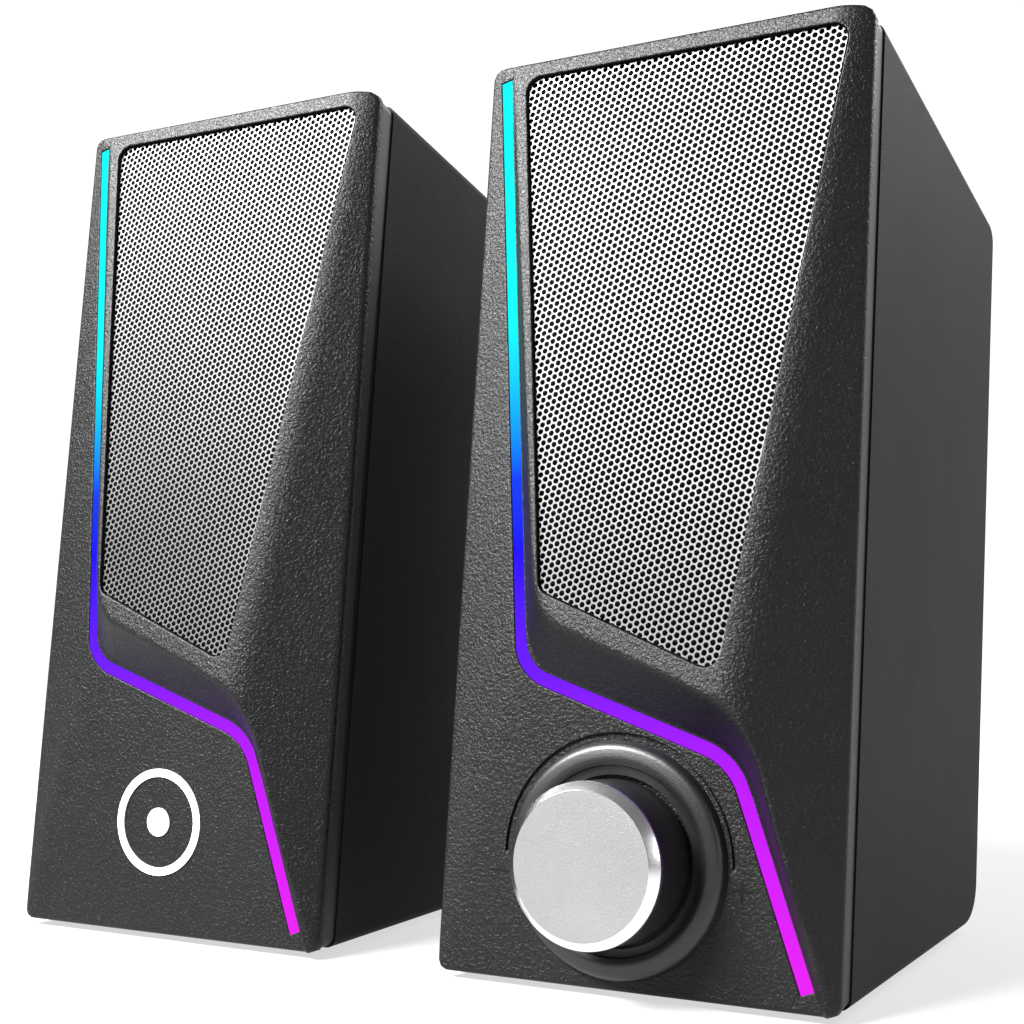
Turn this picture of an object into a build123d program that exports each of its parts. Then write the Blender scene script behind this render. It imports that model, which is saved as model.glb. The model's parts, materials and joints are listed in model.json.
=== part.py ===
from build123d import *
from math import atan, cos, radians, sin, tan
import os

# A pair of desktop speakers on one surface: a main speaker with a volume knob, and a satellite.
# Both housings are the same and stand side by side, with their fronts in line.
# The origin is at the middle of the pair's box, on the surface that the feet rest on.
# +X is to the viewer's right, +Y goes back from the fronts and +Z is up.

# ---- housing ----
width = 85.3                # one speaker, side to side
height = 190.0              # housing, bottom to the front top edge
depth = 98.2                # along the bottom, front to back
lean = 8.0                  # front and back lean back by this, degrees
top_fall = 16.0             # the top falls towards the back, degrees
speaker_gap = 29.8          # clear space between the two speakers
corner_radius = 2.2         # long edges of the housing
heel_radius = 10.0          # bottom back edge
crown_radius = 5.5          # top back edge
wall = 2.5                  # moulded wall of the cabinet

# ---- layers behind the front line, measured square to the leaning front ----
bezel_skirt = 1.8           # the bezel's rim reaches this far back
baffle_thickness = 4.4      # the strip between bezel and cabinet
seam_chamfer = 0.45         # makes the two shadow lines
baffle_inset = 0.35

# ---- feet ----
foot_height = 1.5
foot_radius = 5.0
foot_inset = 15.0

# ---- facets of the bezel: slopes are mm of rise per mm ----
bezel_wall = 2.4
bevel_slope = 0.23          # left bevel rises from the left edge
lower_slope = 0.06          # lower facet rises from the bottom edge
side_slope = 0.65           # side facet falls to the right edge
visor_start = 0.8           # height of the visor at its top left corner
visor_slope = 0.075         # visor rises downwards
visor_twist = 0.022         # and to the right
inner_slope = 1.0           # walls beside the strip's upper and lower runs
flank_slope = 1.25
under_across = 0.31         # underside of the visor rises to the right
under_up = 0.646            # and upwards
strip_ledge = 0.35          # flat beside the strip before a wall climbs

# ---- light strip, places on the front from its left edge and its bottom ----
strip_width = 2.6
strip_top_left = 4.0        # centre line at the top, from the left edge
strip_top_drop = 3.4        # strip ends this far below the top edge
strip_elbow = (17.8, 61.3)
strip_knee_right = 21.6     # from the right edge
strip_knee_up = 45.4
strip_foot_right = 6.3      # from the right edge
strip_foot_up = 3.8
strip_elbow_radius = 9.0
strip_knee_radius = 13.0
strip_recess = 0.2
strip_depth = 1.8
strip_clearance = 0.1
led_size = 1.8
led_height = 0.6
led_pitch = 8.0
board_width = 4.6
board_thickness = 1.0
groove_depth = 2.0           # room for that board in the baffle

# ---- grille ----
grille_top_left = 8.9       # from the left edge
grille_top_drop = 3.4       # from the top edge
grille_top_right = 4.0      # from the right edge
grille_low_right = 22.1     # from the right edge
grille_low_right_up = 60.8
grille_low_left = 23.8
grille_low_left_up = 76.7
grille_corner = 3.2
grille_clearance = 0.25
grille_recess = 0.9
grille_thickness = 0.8
cloth_thickness = 0.4
retainer_width = 2.2
retainer_depth = 1.5

# ---- loudspeaker ----
driver_across = 44.5        # centre from the left edge
driver_up = 125.0
basket_inner = 25.8          # opening of the basket
flange_width = 7.2
flange_thickness = 2.0
basket_depth = 16.5
basket_sheet = 1.6
basket_wall_across = 2.24   # its sloping wall, measured across
basket_windows = 6
window_turn = 15.0          # degrees
window_reach = 2.0          # how far a window passes the wall, inside and outside
window_share = 0.6          # a window's width as a share of the opening's radius
seat_radius = 19.0
coil_radius = 8.2
coil_wall = 0.8
pole_clearance = 0.4
coil_clearance = 0.6
top_plate_thickness = 3.0
magnet_radius = 22.5
magnet_bore = 11.0
magnet_thickness = 9.0
yoke_radius = 20.0
yoke_thickness = 3.5
surround_width = 5.2
cone_paper = 0.8
cone_rise = 10.7
neck_gap = 2.5              # from the spider up to the cone's neck
dome_margin = 1.2           # dust cap past the coil
dome_rise = 3.0
spider_thickness = 0.5
spider_radius = 17.0
spider_margin = 0.5         # round the spider's edge
surround_sheet = 0.5

# ---- screws ----
small_shank = 1.3
small_head = 2.5
small_head_height = 1.6
recess_length = 1.2         # arms of the cross recess, as shares of the head's radius
recess_width = 0.3
thread_clearance = 0.05
blind_floor = 1.0           # left in front of a blind hole
screw_end_gap = 0.2
flange_screw_play = 0.2
flange_screw_inset = 4.8    # from the basket's opening to the screws' circle
bezel_screw_inset = 6.5
bezel_screw_heights = (24.0, 100.0)
post_radius = 3.6
post_inset = 9.0
post_heights = (42.0, 165.0)
cabinet_screw_shank = 1.6
cabinet_screw_head = 3.0
cabinet_head_height = 1.08
cabinet_screw_length = 12.0
screw_pocket = 1.2

# ---- volume knob ----
knob_across = 40.0
knob_up = 25.0
knob_radius = 15.8
knob_lift = 0.6             # gap under the knob
knob_body_top = 13.2
knob_top = 15.8
knob_chamfer_across = 1.7
knob_chamfer_depth = 1.8
cap_step = 0.3              # small bevel where the cap meets the body
collar_gap = 0.8            # between knob and collar
collar_flat_width = 1.4
collar_round_width = 5.3
collar_height = 2.3
collar_flat_height = 1.4
arc_gap = 1.1               # from the collar out to the engraved arc
arc_width = 0.6
engraving = 0.5
mark_gap = 1.6              # from the arc out to the marks
mark_drop = 3.7
mark_length = 4.6
mark_width = 0.7
bushing_wall = 0.45
bushing_length = 2.6
nut_wall = 1.5
nut_thickness = 1.8
nut_room = 2.4              # round and over the nut, inside the knob
shaft_radius = 3.0
shaft_clearance = 0.05
shaft_top = 11.2
shaft_end_gap = 0.3
pot_radius = 8.0
pot_window = 26.0
pot_board = 22.0
pot_depth = 6.5

# ---- emblem of the satellite ----
emblem_radius = 12.0
emblem_ring = 1.8
emblem_dot = 3.2
emblem_thickness = 0.3

# ---- electronics and connections ----
board_size = (54.0, 44.0)
pcb_thickness = 1.6
board_standoff = 4.0
standoff_radius = 2.6
standoff_inset = 4.0
board_back = 36.0           # board's front edge behind the front line
capacitor_radius = 5.0
capacitor_height = 16.0
capacitor_gap = 3.0
capacitor_count = 3
capacitor_round = 0.8
chip_size = (14.0, 3.6, 12.0)
sink_size = (24.0, 9.0, 20.0)
sink_fins = 6
jack_size = (11.0, 9.0, 13.0)
jack_nose_radius = 4.0       # the wall's holes fit this
jack_bore_radius = 1.8
jack_bore_depth = 14.0
jack_nose_proud = 0.6
gland_flange = 5.5
gland_lip = 4.7             # inside the wall
gland_neck = 4.0
gland_bore = 1.9
gland_proud = 1.2
connection_height = 38.0
connection_spacing = 17.0

slack = 40.0                # oversize of blocks that are then cut to shape


# ---- shared geometry ----
pitch = width + speaker_gap
main_left = (pitch - width) / 2
satellite_left = main_left - pitch
front_length = height / cos(radians(lean))
baffle_back = bezel_skirt + baffle_thickness
back_distance = depth * cos(radians(lean))
knob_tilt = radians(lean) - atan(lower_slope)
flange_radius = basket_inner + flange_width
driver_screw_circle = basket_inner + flange_screw_inset
cone_radius = basket_inner - surround_width
knob_face_radius = knob_radius - knob_chamfer_across
collar_inner = knob_radius + collar_gap
collar_flat = collar_inner + collar_flat_width
collar_outer = collar_flat + collar_round_width
arc_radius = collar_outer + arc_gap
mark_offset = arc_radius + mark_gap
bushing_radius = shaft_radius + shaft_clearance + bushing_wall
nut_radius = bushing_radius + nut_wall


def crown_point():
    """Where the sloping top meets the leaning back, as y and z from the bottom front line."""
    front_y = height * tan(radians(lean))
    fall = tan(radians(top_fall))
    y = (depth + tan(radians(lean)) * (height + fall * front_y)) / (1 + tan(radians(lean)) * fall)
    return y, height - fall * (y - front_y)


def front_reach():
    """How far the knob stands in front of the bottom front line."""
    y = knob_up * sin(radians(lean)) - lower_slope * knob_up * cos(radians(lean))
    face = knob_top * cos(knob_tilt) + knob_face_radius * sin(knob_tilt)
    rim = (knob_top - knob_chamfer_depth) * cos(knob_tilt) + knob_radius * sin(knob_tilt)
    return max(face, rim) - y


def rear_reach():
    """How far back the rounded crown reaches."""
    with BuildSketch(Plane.XY) as outline:
        with BuildLine():
            Polyline((0, 0), (depth, 0), crown_point(), (height * tan(radians(lean)), height), close=True)
        make_face()
        fillet(outline.vertices().sort_by(Axis.X)[-1], crown_radius)
    return outline.sketch.bounding_box().max.X


front_y = (front_reach() - rear_reach()) / 2


def front_plane(left):
    """The leaning plane through the front edges: X to the right, Y up along it, Z forwards."""
    return Plane(
        origin=(left, front_y, foot_height),
        x_dir=(1, 0, 0),
        z_dir=(0, -cos(radians(lean)), sin(radians(lean))),
    )


def facet(front, point, across, up):
    """A plane through a point of the front that rises by across to the right and by up upwards."""
    normal = front.z_dir - front.x_dir * across - front.y_dir * up
    return Plane(origin=front.from_local_coords(Vector(*point)), z_dir=normal)


def side_view(left):
    """Plane of a side view at a speaker's left side: X goes back and Y goes up."""
    return Plane(origin=(left, front_y, foot_height), x_dir=(0, 1, 0), z_dir=(1, 0, 0))


def turning(front, across, up, forward):
    """A radial plane and its axis for pieces turned about a line square to the front."""
    centre = front.from_local_coords(Vector(across, up, forward))
    plane = Plane(origin=centre, x_dir=front.x_dir, z_dir=front.y_dir * -1)
    return plane, Axis(centre, front.z_dir)


# ---- facets ----
strip_knee = (width - strip_knee_right, strip_knee_up)
strip_foot = (width - strip_foot_right, strip_foot_up)
strip_head = (strip_top_left, front_length - strip_top_drop)


def rise_from(start, end, slope):
    """Slopes of a wall that climbs to the right of the run from start down to end."""
    run = Vector(end[0] - start[0], end[1] - start[1]).normalized()
    return -run.Y * slope, run.X * slope


def base_facets(front):
    """Left bevel, lower facet, side facet and visor."""
    return [
        facet(front, (0, 0, 0), bevel_slope, 0),
        facet(front, (0, 0, 0), 0, lower_slope),
        facet(front, (width, 0, 0), -side_slope, 0),
        facet(front, (0, front_length, visor_start), visor_twist, -visor_slope),
    ]


def beside_strip(start, end):
    """A point at the strip's upper edge, with its ledge, for the run from start to end."""
    across, up = rise_from(start, end, strip_width / 2 + strip_ledge)
    return start[0] + across, start[1] + up


def climbing_wall(front, start, end, slope, ground):
    """A wall that climbs beside one run of the strip, from a ground with its own two slopes."""
    x, y = beside_strip(start, end)
    across, up = rise_from(start, end, slope)
    level = ground[0] * x + ground[1] * y
    return facet(front, (x, y, level), across + ground[0], up + ground[1])


def visor_facets(front):
    """Two sets of facets, whose blocks make the visor: over the slanting run, and beside the foot run."""
    low = base_facets(front)
    inner = climbing_wall(front, strip_head, strip_elbow, inner_slope, (bevel_slope, 0))
    flank = climbing_wall(front, strip_knee, strip_foot, flank_slope, (0, lower_slope))
    middle = ((strip_elbow[0] + strip_knee[0]) / 2, (strip_elbow[1] + strip_knee[1]) / 2)
    x, y = beside_strip(middle, strip_knee)
    under = facet(front, (x, y, lower_slope * y), under_across, under_up)
    return [low[2], low[3], inner, under], [low[2], low[3], inner, flank]


def profile_corner(ahead, inset, top):
    """Corner of the side view on the plane ahead of the front line, as distances back and up."""
    fall = tan(radians(top_fall))
    slant = tan(radians(lean))
    reach = ahead / cos(radians(lean))
    if not top:
        return inset * slant - reach, inset
    roof = height - inset / cos(radians(top_fall)) + fall * (height * slant + reach)
    up = roof / (1 + fall * slant)
    return up * slant - reach, up


def housing_block(left, ahead, behind, inset, crown=0, heel=0):
    """A slice of the housing between two planes parallel to the front, with rounded long edges."""
    corners = [
        profile_corner(ahead, inset, False),
        profile_corner(-behind, inset, False),
        profile_corner(-behind, inset, True),
        profile_corner(ahead, inset, True),
    ]
    with BuildPart() as block:
        with BuildSketch(side_view(left + inset)):
            with BuildLine():
                Polyline(*corners, close=True)
            make_face()
        extrude(amount=width - 2 * inset)
        if heel:
            fillet(block.edges().filter_by(Axis.X).sort_by(Axis.Z)[:2].sort_by(Axis.Y)[-1], heel)
        if crown:
            fillet(block.edges().filter_by(Axis.X).sort_by(Axis.Y)[-1], crown)
        long_edges = block.edges().filter_by(lambda edge: abs(edge.tangent_at(0.5).Y) > 0.9)
        fillet(long_edges, corner_radius)
    return block.part


def gem(left, facets, sink, inset):
    """The solid under a set of facets, all sunk by one amount, inside the housing's outline."""
    with BuildPart() as block:
        add(housing_block(left, slack, bezel_skirt, inset))
        for plane in facets:
            split(bisect_by=plane.offset(-sink), keep=Keep.BOTTOM)
    return block.part


def front_solid(left, sink, inset):
    """The whole faceted front, sunk and inset by a wall: the base and both parts of the visor."""
    front = front_plane(left)
    over, beside = visor_facets(front)
    with BuildPart() as solid:
        add(gem(left, base_facets(front), sink, inset))
        add(gem(left, over, sink, inset))
        add(gem(left, beside, sink, inset))
    return solid.part


def strip_line():
    """The light strip's centre line on the front: three runs joined by two bends."""
    return FilletPolyline(
        strip_head, strip_elbow, strip_knee, strip_foot,
        radius=[strip_elbow_radius, strip_knee_radius],
    )


def strip_prism(left, prism_width):
    """A band of one width along the light strip's centre line, right through the front."""
    front = front_plane(left)
    with BuildPart() as prism:
        with BuildSketch(front.offset(-slack)):
            with BuildLine():
                strip_line()
            trace(line_width=prism_width)
        extrude(amount=2 * slack)
    return prism.part


def strip_layer(left, prism_width, top, bottom):
    """The part of the light strip's band between two depths under the facets."""
    facets = base_facets(front_plane(left))
    with BuildPart() as layer:
        add(gem(left, facets, top, 0))
        add(gem(left, facets, bottom, 0), mode=Mode.SUBTRACT)
        add(strip_prism(left, prism_width), mode=Mode.INTERSECT)
    return layer.part


def grille_prism(left, grow):
    """The grille's outline, grown or shrunk, right through the front."""
    front = front_plane(left)
    with BuildPart() as prism:
        with BuildSketch(front.offset(-slack)) as outline:
            with BuildLine():
                Polyline(
                    (grille_top_left, front_length - grille_top_drop),
                    (width - grille_top_right, front_length - grille_top_drop),
                    (width - grille_low_right, grille_low_right_up),
                    (grille_low_left, grille_low_left_up),
                    close=True,
                )
            make_face()
            fillet(outline.vertices(), grille_corner)
            if grow:
                offset(amount=grow, kind=Kind.ARC)
        extrude(amount=2 * slack)
    return prism.part


def visor_slab(left, grow, top, bottom):
    """The grille's outline between two depths under the visor."""
    visor = base_facets(front_plane(left))[3]
    with BuildPart() as slab:
        add(grille_prism(left, grow))
        split(bisect_by=visor.offset(-top), keep=Keep.BOTTOM)
        split(bisect_by=visor.offset(-bottom), keep=Keep.TOP)
    return slab.part


def disc_along(front, places, radius, start, length):
    """Equal round bars standing on the front's plane at the places, from start forwards by length."""
    with BuildPart() as bars:
        with BuildSketch(front.offset(start)):
            with Locations(*places):
                Circle(radius)
        extrude(amount=length)
    return bars.part


def both_sides(inset, heights):
    """Places at one inset from the left and the right side, at each of the heights."""
    return [(x, y) for x in (inset, width - inset) for y in heights]


bezel_screw_places = both_sides(bezel_screw_inset, bezel_screw_heights)
post_places = both_sides(post_inset, post_heights)
driver_centre = (driver_across, driver_up)


def knob_plane(left):
    """The lower facet at the knob's centre, X to the right and Z out along the knob's axis."""
    front = front_plane(left)
    lower = base_facets(front)[1]
    centre = front.from_local_coords(Vector(knob_across, knob_up, lower_slope * knob_up))
    return Plane(origin=centre, x_dir=(1, 0, 0), z_dir=lower.z_dir)


def screw(front, places, seat, shank, length, head, head_height):
    """Screws with a cross recess, driven forwards; each head lies behind its seat."""
    slot = (recess_length * head, recess_width * head)
    with BuildPart() as screws:
        with BuildSketch(front.offset(seat)):
            with Locations(*places):
                Circle(shank)
        extrude(amount=length)
        with BuildSketch(front.offset(seat)):
            with Locations(*places):
                Circle(head)
        extrude(amount=-head_height)
        with BuildSketch(front.offset(seat - head_height)):
            with Locations(*places):
                Rectangle(*slot)
                Rectangle(*reversed(slot))
        extrude(amount=head_height / 2, mode=Mode.SUBTRACT)
    return screws.part


# ---- front ----
def make_bezel(left, with_knob):
    """Faceted shell with the grille's opening, the strip's slot, screw bosses and the knob's collar."""
    front = front_plane(left)
    knob = knob_plane(left)
    radial = Plane(origin=knob.origin, x_dir=knob.x_dir, z_dir=knob.y_dir * -1)
    shell = front_solid(left, 0, 0)
    hollow = front_solid(left, bezel_wall, bezel_wall)
    bosses = disc_along(front, bezel_screw_places, small_head, -bezel_skirt, slack / 2)
    pilots = disc_along(
        front, bezel_screw_places, small_shank + thread_clearance,
        -bezel_skirt, bezel_wall + thread_clearance,
    )
    with BuildPart() as bezel:
        add(bosses)
        add(shell, mode=Mode.INTERSECT)
        add(shell - hollow)
        add(pilots, mode=Mode.SUBTRACT)
        add(grille_prism(left, 0), mode=Mode.SUBTRACT)
        add(strip_prism(left, strip_width + 2 * strip_clearance), mode=Mode.SUBTRACT)
        if with_knob:
            with BuildSketch(radial):
                with BuildLine():
                    Line((collar_inner, -bezel_wall / 2), (collar_inner, collar_flat_height))
                    Line((collar_inner, collar_flat_height), (collar_flat, collar_flat_height))
                    ThreePointArc(
                        (collar_flat, collar_flat_height),
                        ((collar_flat * 2 + collar_outer) / 3, collar_height),
                        (collar_outer, 0),
                    )
                    Polyline(
                        (collar_outer, 0), (collar_outer, -bezel_wall / 2), (collar_inner, -bezel_wall / 2)
                    )
                make_face()
            revolve(axis=Axis(knob.origin, knob.z_dir))
            with BuildSketch(knob):
                Circle(bushing_radius + shaft_clearance)
            extrude(amount=bezel_wall * 2, both=True, mode=Mode.SUBTRACT)
            with BuildSketch(knob):
                with BuildLine():
                    CenterArc((0, 0), arc_radius, 0, 180)
                trace(line_width=arc_width)
                with Locations((-mark_offset, -mark_drop), (mark_offset, -mark_drop)):
                    Rectangle(mark_length, mark_width)
                with Locations((mark_offset, -mark_drop)):
                    Rectangle(mark_width, mark_length)
            extrude(amount=engraving, both=True, mode=Mode.SUBTRACT)
    return bezel.part


def make_baffle(left, with_knob):
    """Plate between bezel and cabinet: driver hole, cable groove, screw holes and posts to the back."""
    front = front_plane(left)
    knob = knob_plane(left)
    post_length = back_distance - wall - baffle_back
    with BuildPart() as baffle:
        add(housing_block(left, -bezel_skirt, baffle_back, baffle_inset))
        front_face = baffle.faces().sort_by(Axis(front.origin, front.z_dir))[-1]
        chamfer(front_face.outer_wire().edges(), seam_chamfer)
        with BuildSketch(front.offset(-baffle_back)):
            with Locations(*post_places):
                Circle(post_radius)
        extrude(amount=-post_length)
        with BuildSketch(front.offset(-baffle_back - post_length)):
            with Locations(*post_places):
                Circle(cabinet_screw_shank + thread_clearance)
        extrude(amount=cabinet_screw_length - wall + screw_pocket + blind_floor, mode=Mode.SUBTRACT)
        with BuildSketch(front):
            with Locations(driver_centre):
                Circle(basket_inner + strip_clearance)
            with Locations(*bezel_screw_places):
                Circle(small_shank + thread_clearance)
        extrude(amount=-baffle_back - slack / 2, mode=Mode.SUBTRACT)
        with BuildSketch(front.offset(-baffle_back)):
            with Locations(driver_centre):
                with PolarLocations(driver_screw_circle, 4, 45):
                    Circle(small_shank + thread_clearance)
        extrude(amount=baffle_thickness - blind_floor, mode=Mode.SUBTRACT)
        add(board_groove(left), mode=Mode.SUBTRACT)
        if with_knob:
            with BuildSketch(front):
                with Locations((knob_across, knob_up)):
                    Rectangle(pot_window, pot_window)
            extrude(amount=-baffle_back - slack / 2, mode=Mode.SUBTRACT)
    return baffle.part


def board_groove(left):
    """Room in the baffle's front face for the lamp board."""
    with BuildPart() as groove:
        add(strip_prism(left, board_width + 4 * strip_clearance))
        split(bisect_by=front_plane(left).offset(-bezel_skirt - groove_depth), keep=Keep.TOP)
        split(bisect_by=front_plane(left), keep=Keep.BOTTOM)
    return groove.part


def make_cabinet(left, holes, hole_radius):
    """Moulded tub, open to the front, with rounded heel and crown and four screw pockets."""
    front = front_plane(left)
    rear = -back_distance
    with BuildPart() as cabinet:
        add(housing_block(left, -baffle_back, back_distance, 0, crown_radius, heel_radius))
        add(
            housing_block(left, 0, back_distance - wall, wall, crown_radius - wall, heel_radius - wall),
            mode=Mode.SUBTRACT,
        )
        with BuildSketch(front.offset(rear)):
            with Locations(*post_places):
                Circle(cabinet_screw_head + strip_clearance)
        extrude(amount=screw_pocket, mode=Mode.SUBTRACT)
        with BuildSketch(front.offset(rear)):
            with Locations(*post_places):
                Circle(cabinet_screw_shank + thread_clearance)
            with Locations(*holes):
                Circle(hole_radius)
        extrude(amount=wall, mode=Mode.SUBTRACT)
    return cabinet.part


def make_retainer(left):
    """Ring behind the bezel that holds the grille and its cloth, shaped to the bezel's inside."""
    cloth_bottom = grille_recess + grille_thickness + cloth_thickness
    with BuildPart() as ring:
        add(visor_slab(left, retainer_width, bezel_wall, bezel_wall + retainer_depth))
        add(front_solid(left, bezel_wall, bezel_wall), mode=Mode.INTERSECT)
        add(visor_slab(left, -grille_clearance, cloth_bottom, bezel_wall))
        add(visor_slab(left, -retainer_width, 0, bezel_wall + retainer_depth), mode=Mode.SUBTRACT)
    return ring.part


# ---- light ----
def make_leds(left):
    """Small light-emitting chips at an even pitch behind the strip."""
    top = strip_recess + strip_depth
    layer = strip_layer(left, led_size, top, top + led_height)
    with BuildPart() as chips:
        with BuildSketch(front_plane(left).offset(-slack)):
            with BuildLine(mode=Mode.PRIVATE):
                run = strip_line()
            count = int(run.length / led_pitch)
            with Locations(*[run.position_at((index + 0.5) / count) for index in range(count)]):
                Rectangle(led_size, led_size)
        extrude(amount=2 * slack)
        add(layer, mode=Mode.INTERSECT)
    return chips.part


# ---- loudspeaker ----
def turned(left, *outline):
    """A piece turned about the driver's axis from an outline of radius and distance forwards."""
    plane, axis = turning(front_plane(left), driver_across, driver_up, -baffle_back)
    with BuildPart() as piece:
        with BuildSketch(plane):
            with BuildLine():
                Polyline(*outline, close=True)
            make_face()
        revolve(axis=axis)
    return piece.part


floor_level = basket_sheet - basket_depth       # inside floor of the basket, behind its flange
neck = floor_level + spider_thickness + neck_gap  # where the cone meets the coil
cone_edge = neck + cone_rise
pole_radius = coil_radius - coil_wall - pole_clearance
plate_bore = coil_radius + coil_clearance
plate_back = -basket_depth - top_plate_thickness
magnet_back = plate_back - magnet_thickness


def make_basket(left):
    """Pressed frame: flange, sloping wall with six windows, and a seat for the magnet."""
    front = front_plane(left)
    foot_inner = spider_radius + spider_margin
    slope = basket_inner - seat_radius
    with BuildPart() as basket:
        add(turned(
            left,
            (basket_inner, 0), (flange_radius, 0), (flange_radius, -flange_thickness),
            (basket_inner + basket_wall_across, -flange_thickness), (seat_radius, floor_level),
            (seat_radius, -basket_depth), (plate_bore, -basket_depth), (plate_bore, floor_level),
            (foot_inner, floor_level), (basket_inner, -flange_thickness),
        ))
        with BuildSketch(front.offset(-baffle_back - flange_thickness - basket_sheet)):
            with Locations(driver_centre):
                with PolarLocations(seat_radius + slope / 2, basket_windows, window_turn):
                    Rectangle(slope + 2 * window_reach, basket_inner * window_share)
        extrude(amount=-(basket_depth - flange_thickness - 2.5 * basket_sheet), mode=Mode.SUBTRACT)
        with BuildSketch(front.offset(-baffle_back)):
            with Locations(driver_centre):
                with PolarLocations(driver_screw_circle, 4, 45):
                    Circle(small_shank + flange_screw_play)
        extrude(amount=-flange_thickness, mode=Mode.SUBTRACT)
    return basket.part


def make_surround(left):
    """Half roll of rubber between the cone's edge and the basket."""
    plane, axis = turning(front_plane(left), driver_across, driver_up, -baffle_back)
    middle = (cone_radius + basket_inner) / 2
    roll = (basket_inner - cone_radius) / 2
    lip = cone_edge - surround_sheet
    with BuildPart() as surround:
        with BuildSketch(plane):
            with BuildLine():
                ThreePointArc((cone_radius, cone_edge), (middle, cone_edge + roll), (basket_inner, cone_edge))
                Polyline((basket_inner, cone_edge), (basket_inner, lip), (basket_inner - surround_sheet, lip))
                ThreePointArc(
                    (basket_inner - surround_sheet, lip),
                    (middle, lip + roll - surround_sheet),
                    (cone_radius + surround_sheet, lip),
                )
                Polyline((cone_radius + surround_sheet, lip), (cone_radius, lip), (cone_radius, cone_edge))
            make_face()
        revolve(axis=axis)
    return surround.part


def dome_point(foot, rise):
    """A point a little over half way out on a dome that rises over a round foot."""
    ball = (foot * foot + rise * rise) / (2 * rise)
    out = 0.6 * foot
    return out, (ball * ball - out * out) ** 0.5 - ball + rise


def make_dust_cap(left):
    """Shallow dome over the coil, standing on the cone."""
    plane, axis = turning(front_plane(left), driver_across, driver_up, -baffle_back)
    foot = coil_radius + dome_margin
    level = neck + cone_paper + (foot - coil_radius) * (cone_rise - cone_paper) / (cone_radius - coil_radius)
    outer = dome_point(foot, dome_rise)
    inner = dome_point(foot - cone_paper, dome_rise - cone_paper)
    with BuildPart() as cap:
        with BuildSketch(plane):
            with BuildLine():
                ThreePointArc((foot, level), (outer[0], level + outer[1]), (0, level + dome_rise))
                Line((0, level + dome_rise), (0, level + dome_rise - cone_paper))
                ThreePointArc(
                    (0, level + dome_rise - cone_paper),
                    (inner[0], level + inner[1]),
                    (foot - cone_paper, level),
                )
                Line((foot - cone_paper, level), (foot, level))
            make_face()
        revolve(axis=axis)
    return cap.part


def driver_pieces(left):
    """Every piece of one loudspeaker, by name."""
    front = front_plane(left)
    screw_spots = [
        (driver_across + x * driver_screw_circle * cos(radians(45)),
         driver_up + y * driver_screw_circle * sin(radians(45)))
        for x in (-1, 1) for y in (-1, 1)
    ]
    return {
        "driver_basket": make_basket(left),
        "driver_top_plate": turned(
            left, (plate_bore, -basket_depth), (seat_radius, -basket_depth),
            (seat_radius, plate_back), (plate_bore, plate_back),
        ),
        "driver_magnet": turned(
            left, (magnet_bore, plate_back), (magnet_radius, plate_back),
            (magnet_radius, magnet_back), (magnet_bore, magnet_back),
        ),
        "driver_yoke": turned(
            left, (0, -basket_depth), (pole_radius, -basket_depth), (pole_radius, magnet_back),
            (yoke_radius, magnet_back), (yoke_radius, magnet_back - yoke_thickness),
            (0, magnet_back - yoke_thickness),
        ),
        "driver_cone": turned(
            left, (coil_radius, neck), (cone_radius, cone_edge - cone_paper),
            (cone_radius, cone_edge), (coil_radius, neck + cone_paper),
        ),
        "driver_voice_coil": turned(
            left, (coil_radius - coil_wall, neck + cone_paper), (coil_radius, neck + cone_paper),
            (coil_radius, plate_back - coil_wall), (coil_radius - coil_wall, plate_back - coil_wall),
        ),
        "driver_dust_cap": make_dust_cap(left),
        "driver_surround": make_surround(left),
        "driver_spider": turned(
            left, (coil_radius, floor_level), (spider_radius, floor_level),
            (spider_radius, floor_level + spider_thickness), (coil_radius, floor_level + spider_thickness),
        ),
        "driver_screws": screw(
            front, screw_spots, -baffle_back - flange_thickness, small_shank,
            flange_thickness + baffle_thickness - blind_floor - screw_end_gap, small_head, small_head_height,
        ),
    }


# ---- one housing with all that both speakers have ----
def speaker_pieces(left, with_knob, holes, hole_radius):
    """Every piece that both speakers have, by name."""
    front = front_plane(left)
    grille_bottom = grille_recess + grille_thickness
    strip_bottom = strip_recess + strip_depth
    feet = [(x, y) for x in (foot_inset, width - foot_inset) for y in (foot_inset, depth - foot_inset)]
    with BuildPart() as foot_pads:
        with BuildSketch(Plane((left, front_y, 0))):
            with Locations(*feet):
                Circle(foot_radius)
        extrude(amount=foot_height)
    pieces = {
        "front_bezel": make_bezel(left, with_knob),
        "baffle": make_baffle(left, with_knob),
        "cabinet": make_cabinet(left, holes, hole_radius),
        "grille": visor_slab(left, -grille_clearance, grille_recess, grille_bottom),
        "grille_cloth": visor_slab(
            left, -grille_clearance, grille_bottom, grille_bottom + cloth_thickness
        ),
        "grille_retainer": make_retainer(left),
        "light_strip": strip_layer(left, strip_width, strip_recess, strip_bottom),
        "lamp_board": strip_layer(
            left, board_width, strip_bottom + led_height, strip_bottom + led_height + board_thickness
        ),
        "lamps": make_leds(left),
        "bezel_screws": screw(
            front, bezel_screw_places, -baffle_back, small_shank,
            baffle_thickness + bezel_wall - thread_clearance, small_head, small_head_height,
        ),
        "cabinet_screws": screw(
            front, post_places, screw_pocket - back_distance, cabinet_screw_shank,
            cabinet_screw_length, cabinet_screw_head, cabinet_head_height,
        ),
        "feet": foot_pads.part,
    }
    pieces.update(driver_pieces(left))
    return pieces


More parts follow.
